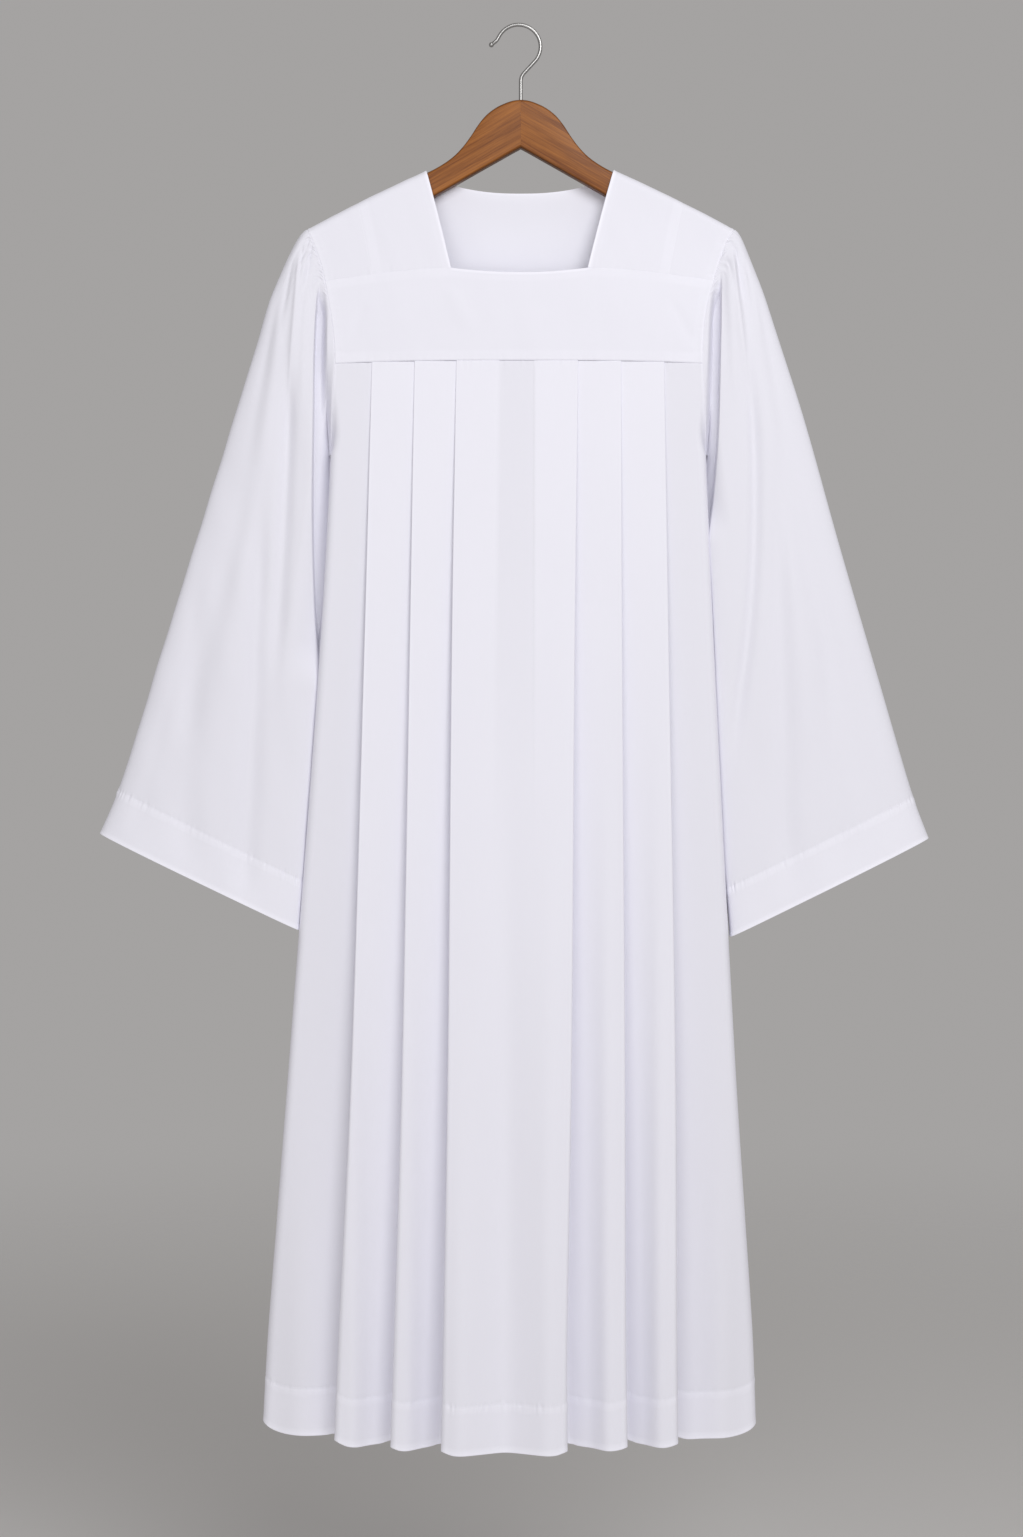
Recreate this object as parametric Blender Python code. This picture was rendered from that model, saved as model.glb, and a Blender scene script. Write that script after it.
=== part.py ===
"""Surplice on a wooden hanger.

A white choir surplice with a square front neck, a flat yoke, a pleated body and bell sleeves, hanging
on a plain wooden hanger. The wall of each sewn piece follows sections that are worked out from the
tables below. The front faces -Y, up is +Z, and the origin is the underside of the hook's top, where a
rail carries it.
"""

import math
from collections import namedtuple

import bmesh
import bpy
from mathutils import Vector

# Sizes are in millimetres, and MM turns them into metres when a mesh is made.
MM = 0.001

# Cloth
WALL = 1.2
HEM_WALL = 2.2
SEAM_GAP = 0.3
ARMHOLE_GAP = 0.5
UNDERARM_GAP = 2.0

# Middle of the garment and of the hanger
CENTRE_X = 2.4

# Hanger hook: bent wire with a ball end, screwed into the wood
WIRE_RADIUS = 2.0
BALL_RADIUS = 2.7
HOOK_RADIUS = 23.3
HOOK_ARC_START = math.radians(-38.0)
HOOK_ARC_END = math.radians(142.0)
HOOK_FLICK = 15.0
STEM_TOP_Z = -53.0
STEM_END_Z = -98.0
HOLE_END_Z = -99.0
HOLE_RADIUS = 2.4
WIRE_SIDES = 8

# Hanger arms: distance from the middle, top edge, lower edge and half thickness
ArmStation = namedtuple("ArmStation", "reach top bottom half_thick")
ARM_STATIONS = (
    ArmStation(0.15, -78.4, -129.3, 7.0),
    ArmStation(8.0, -79.4, -133.6, 7.0),
    ArmStation(16.0, -82.0, -138.1, 7.0),
    ArmStation(26.0, -86.8, -143.8, 7.0),
    ArmStation(36.5, -94.8, -149.7, 7.0),
    ArmStation(45.0, -105.0, -154.5, 7.0),
    ArmStation(52.5, -116.5, -158.8, 7.0),
    ArmStation(61.0, -128.0, -163.6, 7.0),
    ArmStation(71.0, -138.4, -169.3, 7.0),
    ArmStation(83.5, -147.4, -176.4, 7.0),
    ArmStation(98.0, -155.2, -184.4, 7.0),
    ArmStation(130.0, -168.6, -198.0, 6.8),
    ArmStation(165.0, -185.5, -212.6, 6.5),
    ArmStation(195.0, -200.7, -225.2, 6.2),
    ArmStation(208.0, -208.8, -229.0, 5.6),
    ArmStation(214.0, -214.8, -226.5, 3.6),
)
ARM_SIDES = 16
ARM_SQUARENESS = 0.62

# Shoulder ridge, which the cloth folds over: distance from the middle and height of the cloth there
NECK_POINT_REACH = 98.3
NECK_POINT_Z = -152.6
SHOULDER_POINT_REACH = 226.0
SHOULDER_POINT_Z = -215.6
RIDGE_SLOPE_AT_NECK = 0.44
RIDGE_RADIUS = 9.5
RIDGE_ANGLES = (-90.0, -60.0, -30.0, 0.0, 30.0, 60.0, 90.0)
SHOULDER_ROWS = (0.25, 0.5, 0.75, 1.0)
RIDGE_SPREAD = 9.0
RIDGE_SPREAD_DROP = 150.0

# Yoke: heights of its seams and places of its edges, as distances from the middle
NECK_BOTTOM_REACH = 73.0
NECK_BOTTOM_Z = -258.4
NECK_BOTTOM_SAG = 5.0
CROSS_SEAM_FALL = 13.5
CROSS_SEAM_POWER = 1.6
ARM_REACH_AT_CROSS_SEAM = 199.6
YOKE_END_Z = -356.0
YOKE_END_FALL = 3.6
YOKE_END_POWER = 3
ARM_REACH_AT_YOKE_END = 195.6
ARM_CURVE_POWER = 1.7
PANEL_SEAM_TOP_REACH = 172.0
PANEL_SEAM_LOW_REACH = 156.5
BACK_SEAM_DROP = 20.0
BACK_NECK_REACH = 77.0
BACK_NECK_Z = -174.6
BACK_NECK_RISE = 10.0
BACK_NECK_POWER = 2.4
YOKE_ROW_SHARES = (0.0, 0.33, 0.66, 1.0)

# Skirts: heights of their rows, and the hem's stitch line
UNDERARM_Z = -453.0
HEM_Z = -1493.0
HEM_LIFT_AT_SIDE = 15.0
HEM_LIFT_REACH = 262.0
HEM_LIFT_POWER = 8
HEM_BAND = 49.5
HEM_STEP = 0.8
SKIRT_LEVELS = (0.0, 0.26, 0.65, 0.90, 1.0)
UNDERARM_ROW_Z = (-395.0, -430.0, UNDERARM_Z)
LOWER_ROW_Z = (-590.0, -780.0, -1020.0, -1270.0)
SIDE_RADIUS = 8.0
EDGE_RUN = 0.6
SIDE_LEVEL_TOP = 18.5
SIDE_LEVEL_HEM = 15.0
SEAM_Y_HEM = 4.0
ARC_STEPS = 3
SIDE_PANEL_STEPS = 4
PANEL_STEPS = 3
CENTRE_STEPS = 8

# Fold: half of the skirt that it is on (-1 left, 1 right), its edge's x from yoke to hem at
# SKIRT_LEVELS, and how far forward its edge and the tuck behind it stand at the hem
Fold = namedtuple("Fold", "name half x_yoke x_waist x_knee x_band x_hem edge_hem tuck_hem")
FRONT_FOLDS = (
    Fold("outer_left", -1, -154.1, -161.8, -174.6, -187.5, -191.7, 49.0, 12.0),
    Fold("middle_left", -1, -109.3, -114.2, -121.6, -129.5, -132.9, 63.0, 20.0),
    Fold("inner_left", -1, -65.3, -69.7, -73.4, -77.5, -79.7, 79.0, 30.0),
    Fold("inner_right", 1, 62.6, 58.6, 54.8, 49.9, 49.8, 79.0, 30.0),
    Fold("middle_right", 1, 107.8, 108.3, 110.8, 111.4, 112.4, 63.0, 20.0),
    Fold("outer_right", 1, 153.2, 157.2, 164.0, 165.1, 165.7, 49.0, 12.0),
)
BACK_FOLDS = (
    Fold("outer_left", -1, -152.0, -160.0, -173.0, -182.0, -186.0, 38.0, 10.0),
    Fold("middle_left", -1, -107.0, -112.0, -119.0, -124.0, -127.0, 47.0, 15.0),
    Fold("inner_left", -1, -63.0, -65.0, -68.0, -70.0, -71.0, 56.0, 22.0),
    Fold("inner_right", 1, 66.0, 67.0, 69.0, 72.0, 73.0, 56.0, 22.0),
    Fold("middle_right", 1, 110.0, 112.0, 116.0, 120.0, 123.0, 47.0, 15.0),
    Fold("outer_right", 1, 155.0, 159.0, 168.0, 174.0, 178.0, 38.0, 10.0),
)
SideEdge = namedtuple("SideEdge", "x_yoke x_waist x_knee x_band x_hem")
LEFT_SIDE = SideEdge(-193.2, -208.7, -242.0, -263.4, -269.2)
RIGHT_SIDE = SideEdge(198.0, 205.9, 228.6, 246.5, 250.4)
DEPTH_POWER = 0.85
TUCK_LEVEL_YOKE = 17.6
FOLD_RADIUS_YOKE = 1.25
EDGE_RADIUS_HEM = 2.8
TUCK_RADIUS_HEM = 6.5
TUCK_WIDTH_YOKE = 10.0
TUCK_WIDTH_HEM = 9.0

# Soft swells and troughs on the skirts' panels: place and width across, height forward, and the
# fractions of the skirt's length between which each one grows and fades
Swell = namedtuple("Swell", "x width forward start full fade end")
FRONT_SWELLS = (
    Swell(-2.0, 15.0, -2.2, 0.00, 0.02, 0.25, 0.48),
    Swell(-60.0, 16.0, 6.0, 0.55, 1.00, 2.0, 3.0),
    Swell(-14.0, 20.0, -10.0, 0.50, 1.00, 2.0, 3.0),
    Swell(31.0, 15.0, 5.0, 0.55, 1.00, 2.0, 3.0),
    Swell(-229.0, 18.0, 9.0, 0.55, 1.00, 2.0, 3.0),
    Swell(212.0, 16.0, 7.0, 0.55, 1.00, 2.0, 3.0),
)
BACK_SWELLS = (
    Swell(0.0, 22.0, -9.0, 0.45, 1.00, 2.0, 3.0),
    Swell(-226.0, 18.0, 7.0, 0.55, 1.00, 2.0, 3.0),
    Swell(216.0, 16.0, 6.0, 0.55, 1.00, 2.0, 3.0),
)

# Sleeves, a row for each section from armhole to cuff: how far along the sleeve, its outer edge, its
# inner edge, half its depth front to back, and how far behind the middle plane it hangs
SleeveRow = namedtuple("SleeveRow", "along outer_x outer_z inner_x inner_z half_depth back")
LEFT_SLEEVE = (
    SleeveRow(0.00, -224.0, -216.0, -200.4, -455.0, 15.0, 0.0),
    SleeveRow(0.04, -240.0, -233.0, -202.4, -478.0, 14.0, 1.0),
    SleeveRow(0.10, -255.5, -268.0, -204.6, -512.0, 13.0, 2.0),
    SleeveRow(0.20, -276.0, -333.0, -207.0, -560.0, 13.0, 3.0),
    SleeveRow(0.35, -305.0, -428.0, -210.8, -632.0, 14.0, 4.0),
    SleeveRow(0.55, -348.0, -565.0, -216.4, -722.0, 17.0, 5.0),
    SleeveRow(0.75, -390.0, -700.0, -223.0, -812.0, 21.0, 6.0),
    SleeveRow(0.93, -424.5, -810.0, -231.2, -906.0, 25.0, 6.0),
    SleeveRow(1.00, -443.6, -855.0, -235.8, -957.0, 27.0, 6.0),
)
RIGHT_SLEEVE = (
    SleeveRow(0.00, 228.8, -216.0, 202.6, -455.0, 15.0, 0.0),
    SleeveRow(0.04, 241.0, -235.0, 203.6, -480.0, 14.0, 1.0),
    SleeveRow(0.10, 253.5, -266.0, 204.8, -515.0, 13.0, 2.0),
    SleeveRow(0.20, 274.0, -328.0, 207.0, -570.0, 13.0, 3.0),
    SleeveRow(0.35, 303.0, -418.0, 210.0, -645.0, 14.0, 4.0),
    SleeveRow(0.55, 341.0, -552.0, 214.2, -733.0, 17.0, 6.0),
    SleeveRow(0.75, 383.0, -694.0, 218.8, -822.0, 21.0, 8.0),
    SleeveRow(0.93, 419.2, -817.0, 223.8, -914.0, 25.0, 9.0),
    SleeveRow(1.00, 435.1, -860.0, 228.4, -964.0, 27.0, 9.0),
)
SLEEVE_BLEND = 0.14
SLEEVE_ROUNDNESS = 0.7
# Sideways push of the cloth just past the armhole: its growth along the sleeve and its most, at the
# shoulder and at the underarm, and how much of the ring near each end goes without it
SHOULDER_PUSH_RATE = 250.0
SHOULDER_PUSH = 6.0
UNDERARM_PUSH_RATE = 120.0
UNDERARM_PUSH = 3.0
PUSH_END_SHARE = 0.2
UNDERARM_GAP_START = 0.62
UNDERARM_GAP_SPAN = 0.25
CUFF_STITCH_ALONG = 0.93
CAP_ROWS = (0.0, 0.018, 0.036, 0.054, 0.085)
SLEEVE_ROWS = (0.13, 0.20, 0.35, 0.55, 0.75, 0.93)
FACE_COLUMNS = 13

# Fold where a sleeve's front face turns in towards the body: its line, the share of the depth that it
# drops by, and the strip beside the armhole that rises again
InnerFold = namedtuple("InnerFold", "z x")
LEFT_INNER_FOLD = (
    InnerFold(-285.0, -208.0),
    InnerFold(-330.0, -214.0),
    InnerFold(-400.0, -215.5),
    InnerFold(-455.0, -216.5),
    InnerFold(-560.0, -216.5),
    InnerFold(-640.0, -215.5),
    InnerFold(-720.0, -213.0),
)
RIGHT_INNER_FOLD = (
    InnerFold(-285.0, 209.0),
    InnerFold(-332.0, 215.7),
    InnerFold(-416.0, 212.5),
    InnerFold(-459.0, 209.6),
    InnerFold(-501.0, 208.0),
    InnerFold(-560.0, 206.5),
    InnerFold(-640.0, 206.0),
)
INNER_FOLD_TOP_Z = -280.0
INNER_FOLD_TOP_FADE = 25.0
INNER_FOLD_END_Z = -620.0
INNER_FOLD_END_FADE = 70.0
INNER_FOLD_DROP = 0.5
INNER_FOLD_STEP = 6.0
EDGE_ROLL = 0.10
EDGE_ROLL_ALONG = 0.02
INNER_FOLD_CREST = 0.18
INNER_CREST_WIDTH = 9.0
STRIP_TOP_Z = -330.0
STRIP_LENGTH = 115.0
STRIP_START = 6.0
STRIP_STEP = 8.0

# Gathers in the sleeve cap: their number on each face, the stretch of the armhole that holds them,
# their height, and how far along the sleeve they reach
GATHERS = 9
GATHER_START = 0.035
GATHER_END = 0.30
GATHER_HEIGHT = 1.6
GATHER_PEAK = 0.03
GATHER_FADE = 0.055
GATHER_COLUMNS = 4
GATHER_RISE = 0.5

# Long soft folds of a sleeve face: upper end, lower end, width across and height (a trough is below 0),
# and the shares of a fold's length over which it grows and fades
FOLD_LEAD = 0.05
FOLD_GROWTH = 0.25
FOLD_FADE_START = 0.75
FOLD_FADE = 0.35
FOLD_OVERRUN = 0.2
SleeveFold = namedtuple("SleeveFold", "top_x top_z low_x low_z width height")
LEFT_FRONT_FOLDS = (
    SleeveFold(-238.0, -236.0, -262.0, -700.0, 9.0, -4.0),
    SleeveFold(-250.0, -300.0, -330.0, -830.0, 16.0, 3.5),
    SleeveFold(-262.0, -420.0, -385.0, -850.0, 14.0, -3.5),
)
LEFT_BACK_FOLDS = (
    SleeveFold(-240.0, -240.0, -280.0, -760.0, 12.0, -4.0),
    SleeveFold(-256.0, -320.0, -350.0, -840.0, 16.0, 4.0),
)
RIGHT_FRONT_FOLDS = (
    SleeveFold(234.0, -238.0, 252.0, -560.0, 9.0, -4.0),
    SleeveFold(246.0, -300.0, 322.0, -840.0, 16.0, 3.5),
    SleeveFold(268.0, -420.0, 378.0, -860.0, 14.0, -3.5),
)
RIGHT_BACK_FOLDS = (
    SleeveFold(240.0, -240.0, 284.0, -760.0, 12.0, -4.0),
    SleeveFold(258.0, -320.0, 344.0, -840.0, 16.0, 4.0),
)

# Colours: base colour, roughness, metallic
CLOTH_FINISH = ((0.83, 0.82, 0.88, 1.0), 0.85, 0.0)
WOOD_FINISH = ((0.30, 0.17, 0.085, 1.0), 0.38, 0.0)
STEEL_FINISH = ((0.62, 0.61, 0.60, 1.0), 0.28, 1.0)


def clear_scene():
    """Remove what a new file holds."""
    for item in list(bpy.data.objects):
        bpy.data.objects.remove(item, do_unlink=True)


def mix(a, b, t):
    """Value or vector t of the way from a to b."""
    return a + (b - a) * t


def smooth(t):
    """Ease from 0 to 1 as t goes from 0 to 1."""
    t = min(max(t, 0.0), 1.0)
    return t * t * (3.0 - 2.0 * t)


def bell(offset, width):
    """A soft bump of height 1, centred where offset is 0."""
    return math.exp(-(offset / width) ** 2)


def along_table(stops, values, place):
    """Smooth curve through the values at the stops, read at a place."""
    last = len(stops) - 1
    place = min(max(place, stops[0]), stops[last])
    cell = 0
    while cell < last - 1 and place > stops[cell + 1]:
        cell += 1
    slopes = []
    for knot in (cell, cell + 1):
        before = max(knot - 1, 0)
        after = min(knot + 1, last)
        slopes.append((values[after] - values[before]) / (stops[after] - stops[before]))
    span = stops[cell + 1] - stops[cell]
    t = (place - stops[cell]) / span
    start = values[cell] * (2 * t**3 - 3 * t**2 + 1) + slopes[0] * span * (t**3 - 2 * t**2 + t)
    finish = values[cell + 1] * (3 * t**2 - 2 * t**3) + slopes[1] * span * (t**3 - t**2)
    return start + finish


def new_material(name, finish):
    """Plain material in the part's own colour."""
    colour, roughness, metallic = finish
    material = bpy.data.materials.new(name)
    material.use_nodes = True
    shader = material.node_tree.nodes["Principled BSDF"]
    shader.inputs["Base Color"].default_value = colour
    shader.inputs["Roughness"].default_value = roughness
    shader.inputs["Metallic"].default_value = metallic
    material.diffuse_color = colour
    return material


def new_object(name, mesh_builder, finish):
    """Object made from a bmesh, with outward faces and its own material."""
    bmesh.ops.recalc_face_normals(mesh_builder, faces=mesh_builder.faces)
    mesh = bpy.data.meshes.new(name)
    mesh_builder.to_mesh(mesh)
    mesh_builder.free()
    mesh.shade_smooth()
    mesh.set_sharp_from_angle(angle=math.radians(50.0))
    mesh.materials.append(new_material(name, finish))
    item = bpy.data.objects.new(name, mesh)
    bpy.context.collection.objects.link(item)
    return item


def stitch_rows(mesh_builder, upper, lower):
    """Faces between two rows of (place, vertex), which may have different numbers of vertices."""
    i = 0
    j = 0
    while i < len(upper) - 1 or j < len(lower) - 1:
        upper_next = upper[i + 1][0] if i < len(upper) - 1 else math.inf
        lower_next = lower[j + 1][0] if j < len(lower) - 1 else math.inf
        if abs(upper_next - lower_next) < 1e-6:
            mesh_builder.faces.new((upper[i][1], upper[i + 1][1], lower[j + 1][1], lower[j][1]))
            i += 1
            j += 1
        elif upper_next < lower_next:
            mesh_builder.faces.new((upper[i][1], upper[i + 1][1], lower[j][1]))
            i += 1
        else:
            mesh_builder.faces.new((upper[i][1], lower[j + 1][1], lower[j][1]))
            j += 1


def cloth_solid(name, rows, closed=False):
    """Wall of cloth from rows of (place, face point, lining point), from its top edge to its lowest."""
    mesh_builder = bmesh.new()
    skins = []
    for side in (1, 2):
        skin = []
        for row in rows:
            line = [(entry[0], mesh_builder.verts.new(entry[side] * MM)) for entry in row]
            if closed:
                line.append((1.0, line[0][1]))
            skin.append(line)
        skins.append(skin)
    for skin in skins:
        for upper, lower in zip(skin, skin[1:]):
            stitch_rows(mesh_builder, upper, lower)
    for edge in (0, -1):
        stitch_rows(mesh_builder, skins[0][edge], skins[1][edge])
    if not closed:
        for edge in (0, -1):
            outer = [(index, line[edge][1]) for index, line in enumerate(skins[0])]
            inner = [(index, line[edge][1]) for index, line in enumerate(skins[1])]
            stitch_rows(mesh_builder, outer, inner)
    return new_object(name, mesh_builder, CLOTH_FINISH)


def thick_grid(surface, places, rows, wall_of_row, closed=False):
    """Rows for cloth_solid, thickened along the normals of surface(place, row)."""
    step = 1e-4
    grid = []
    for index, row in enumerate(rows):
        line = []
        for place in places[index]:
            left = surface(place - step if closed or place > step else place, row)
            right = surface(place + step if closed or place < 1.0 - step else place, row)
            above = surface(place, max(row - step, rows[0]))
            below = surface(place, min(row + step, rows[-1]))
            normal = (right - left).cross(below - above).normalized()
            middle = surface(place, row)
            half = normal * (wall_of_row[index] / 2)
            line.append((place, middle + half, middle - half))
        grid.append(line)
    return grid


# Hanger


def hook_route():
    """Centre line of the wire, from its foot in the wood to its ball end, as (x, z, radius)."""
    middle_z = WIRE_RADIUS - HOOK_RADIUS
    route = [(CENTRE_X, STEM_END_Z, WIRE_RADIUS), (CENTRE_X, STEM_TOP_Z, WIRE_RADIUS)]
    steps = 18
    for index in range(steps + 1):
        angle = mix(HOOK_ARC_START, HOOK_ARC_END, index / steps)
        x = HOOK_RADIUS * math.cos(angle)
        z = middle_z + HOOK_RADIUS * math.sin(angle)
        route.append((x, z, WIRE_RADIUS))
    across = -math.sin(HOOK_ARC_END)
    rise = math.cos(HOOK_ARC_END)
    x, z, _ = route[-1]
    for run, radius in ((0.80, WIRE_RADIUS), (0.87, BALL_RADIUS * 0.95), (1.0, BALL_RADIUS),
                        (1.13, BALL_RADIUS * 0.72), (1.18, BALL_RADIUS * 0.30)):
        route.append((x + across * HOOK_FLICK * run, z + rise * HOOK_FLICK * run, radius))
    return route


def make_hook():
    """Wire hook, a ring of points at each station of its route."""
    route = hook_route()
    mesh_builder = bmesh.new()
    rings = []
    for index, (x, z, radius) in enumerate(route):
        before = route[max(index - 1, 0)]
        after = route[min(index + 1, len(route) - 1)]
        along = Vector((after[0] - before[0], 0.0, after[1] - before[1])).normalized()
        outward = Vector((along.z, 0.0, -along.x))
        ring = []
        for side in range(WIRE_SIDES):
            angle = 2 * math.pi * side / WIRE_SIDES
            spoke = outward * math.cos(angle) + Vector((0.0, 1.0, 0.0)) * math.sin(angle)
            ring.append(mesh_builder.verts.new((Vector((x, 0.0, z)) + spoke * radius) * MM))
        rings.append(ring)
    close_rings(mesh_builder, rings)
    return new_object("hanger_hook", mesh_builder, STEEL_FINISH)


def close_rings(mesh_builder, rings):
    """Skin over a row of rings, with a flat face at each end."""
    for ring, following in zip(rings, rings[1:]):
        for side in range(len(ring)):
            beside = (side + 1) % len(ring)
            mesh_builder.faces.new((ring[side], ring[beside], following[beside], following[side]))
    mesh_builder.faces.new(rings[0])
    mesh_builder.faces.new(rings[-1])


def hole_cutter():
    """Round cutter for the hole that takes the hook's stem."""
    mesh = bpy.data.meshes.new("stem_hole")
    mesh_builder = bmesh.new()
    depth = (STEM_TOP_Z - HOLE_END_Z) * MM
    bmesh.ops.create_cone(mesh_builder, cap_ends=True, segments=12, radius1=HOLE_RADIUS * MM,
                          radius2=HOLE_RADIUS * MM, depth=depth)
    mesh_builder.to_mesh(mesh)
    mesh_builder.free()
    cutter = bpy.data.objects.new("stem_hole", mesh)
    cutter.location = (CENTRE_X * MM, 0.0, HOLE_END_Z * MM + depth / 2)
    cutter.hide_render = True
    cutter.display_type = "WIRE"
    bpy.context.collection.objects.link(cutter)
    return cutter


def make_arm(name, side, cutter):
    """One wooden arm of the hanger, from the mitre in the middle to its rounded tip."""
    mesh_builder = bmesh.new()
    rings = []
    for station in ARM_STATIONS:
        middle = (station.top + station.bottom) / 2
        half_height = (station.top - station.bottom) / 2
        ring = []
        for step in range(ARM_SIDES):
            angle = 2 * math.pi * (step + 0.5) / ARM_SIDES
            y = math.copysign(abs(math.cos(angle)) ** ARM_SQUARENESS, math.cos(angle))
            z = math.copysign(abs(math.sin(angle)) ** ARM_SQUARENESS, math.sin(angle))
            point = Vector((CENTRE_X + side * station.reach, y * station.half_thick,
                            middle + z * half_height))
            ring.append(mesh_builder.verts.new(point * MM))
        rings.append(ring)
    close_rings(mesh_builder, rings)
    arm = new_object(name, mesh_builder, WOOD_FINISH)
    hole = arm.modifiers.new("stem_hole", "BOOLEAN")
    hole.operation = "DIFFERENCE"
    hole.object = cutter
    return arm


# Yoke and shoulders


def ridge_z(reach):
    """Height of the shoulder ridge at a distance from the middle, arched over the open neck."""
    if reach < NECK_POINT_REACH:
        rise = RIDGE_SLOPE_AT_NECK * NECK_POINT_REACH / 2
        return NECK_POINT_Z + rise * (1.0 - (reach / NECK_POINT_REACH) ** 2)
    t = (reach - NECK_POINT_REACH) / (SHOULDER_POINT_REACH - NECK_POINT_REACH)
    span = SHOULDER_POINT_REACH - NECK_POINT_REACH
    bend = (NECK_POINT_Z - SHOULDER_POINT_Z) - RIDGE_SLOPE_AT_NECK * span
    return NECK_POINT_Z - RIDGE_SLOPE_AT_NECK * span * t - bend * t * t


def depth_at_drop(drop):
    """Distance of the cloth in front of or behind the middle plane, at a drop below the ridge."""
    spread = RIDGE_SPREAD * smooth((drop - RIDGE_RADIUS) / RIDGE_SPREAD_DROP)
    return RIDGE_RADIUS + spread


def yoke_point(x, z, face):
    """Point of the yoke's cloth below the ridge. The face is -1 at the front and 1 at the back."""
    drop = ridge_z(abs(x - CENTRE_X)) - z
    return Vector((x, face * depth_at_drop(drop), z))


def cross_seam_z(reach):
    """Seam between the shoulder pieces and the front yoke."""
    beyond = max(reach - NECK_BOTTOM_REACH, 0.0) / (ARM_REACH_AT_CROSS_SEAM - NECK_BOTTOM_REACH)
    return NECK_BOTTOM_Z - CROSS_SEAM_FALL * beyond**CROSS_SEAM_POWER


def yoke_end_z(reach):
    """Seam between the yoke and the pleated skirt, front or back."""
    return YOKE_END_Z - YOKE_END_FALL * (reach / ARM_REACH_AT_YOKE_END) ** YOKE_END_POWER


def arm_reach(drop):
    """Armhole's distance from the middle, at a drop below the ridge, down to the cross seam."""
    low_drop = ridge_z(ARM_REACH_AT_CROSS_SEAM) - cross_seam_z(ARM_REACH_AT_CROSS_SEAM)
    return mix(SHOULDER_POINT_REACH, ARM_REACH_AT_CROSS_SEAM, drop / low_drop)


def shoulder_point(side, face, drop_angle, fraction, top_reach, low_reach, low_drop):
    """Point of a shoulder piece, on the ridge's arc or below it."""
    if drop_angle is not None:
        angle = math.radians(drop_angle)
        drop = RIDGE_RADIUS * (1.0 - math.cos(angle))
        depth = RIDGE_RADIUS * math.sin(angle)
    else:
        drop = mix(RIDGE_RADIUS, low_drop, fraction)
        depth = depth_at_drop(drop)
    reach = mix(top_reach, low_reach, drop / low_drop)
    return Vector((CENTRE_X + side * reach, face * depth, ridge_z(reach) - drop))


def shoulder_rows(side, top_reach, front_reach, back_reach):
    """Line of a shoulder piece over the ridge, from its front seam to its back seam."""
    front_drop = ridge_z(front_reach) - cross_seam_z(front_reach) - SEAM_GAP / 2
    line = []
    for fraction in reversed(SHOULDER_ROWS):
        line.append(shoulder_point(side, -1, None, fraction, top_reach, front_reach, front_drop))
    for angle in reversed(RIDGE_ANGLES):
        if angle >= 0.0:
            line.append(shoulder_point(side, -1, angle, 0.0, top_reach, front_reach, front_drop))
        else:
            line.append(shoulder_point(side, 1, -angle, 0.0, top_reach, back_reach, BACK_SEAM_DROP))
    line.append(shoulder_point(side, 1, None, 1.0, top_reach, back_reach, BACK_SEAM_DROP))
    return line


def make_shoulder(name, side, near, far, columns):
    """Shoulder piece between two lines, each given by its reach at ridge, front seam and back seam."""
    lines = []
    for column in range(columns + 1):
        t = column / columns
        lines.append(shoulder_rows(side, mix(near[0], far[0], t), mix(near[1], far[1], t),
                                   mix(near[2], far[2], t)))
    count = len(lines[0])
    grid = []
    for row in range(count):
        entries = []
        for column, line in enumerate(lines):
            before = line[max(row - 1, 0)]
            after = line[min(row + 1, count - 1)]
            left = lines[max(column - 1, 0)][row]
            right = lines[min(column + 1, columns)][row]
            normal = (right - left).cross(after - before).normalized()
            half = normal * (WALL / 2)
            entries.append((column / columns, line[row] + half, line[row] - half))
        grid.append(entries)
    return cloth_solid(name, grid)


def make_shoulders():
    """The four shoulder pieces, 0.3 mm apart along the seam that runs down the shoulder."""
    arm_back = arm_reach(BACK_SEAM_DROP)
    neck = (NECK_POINT_REACH, NECK_BOTTOM_REACH, BACK_NECK_REACH)
    inner_far = (PANEL_SEAM_TOP_REACH - SEAM_GAP, PANEL_SEAM_LOW_REACH - SEAM_GAP,
                 PANEL_SEAM_TOP_REACH - SEAM_GAP)
    outer_near = (PANEL_SEAM_TOP_REACH, PANEL_SEAM_LOW_REACH, PANEL_SEAM_TOP_REACH)
    arm = (SHOULDER_POINT_REACH, ARM_REACH_AT_CROSS_SEAM, arm_back)
    for word, side in (("left", -1), ("right", 1)):
        make_shoulder("shoulder_inner_" + word, side, neck, inner_far, 4)
        make_shoulder("shoulder_outer_" + word, side, outer_near, arm, 3)


def front_neck_z(reach):
    """Lower edge of the square front neck, and on outwards the cross seam."""
    if reach < NECK_BOTTOM_REACH:
        return NECK_BOTTOM_Z - NECK_BOTTOM_SAG * (1.0 - (reach / NECK_BOTTOM_REACH) ** 2)
    return cross_seam_z(reach)


def yoke_reach(z, top_z, end_z):
    """Armhole's distance from the middle between the cross seam and the skirt."""
    t = (top_z - z) / (top_z - end_z)
    curve = 1.0 - (1.0 - t) ** ARM_CURVE_POWER
    return mix(ARM_REACH_AT_CROSS_SEAM, ARM_REACH_AT_YOKE_END, curve)


def yoke_places(neck_share):
    """Places across a yoke from 0 to 1, with one at each end of the neck."""
    steps = 5
    half = [neck_share * index / steps for index in range(steps + 1)]
    half += [mix(neck_share, 1.0, (index + 1) / steps) for index in range(steps)]
    return [0.5 - share / 2 for share in reversed(half[1:])] + [0.5 + share / 2 for share in half]


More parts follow.
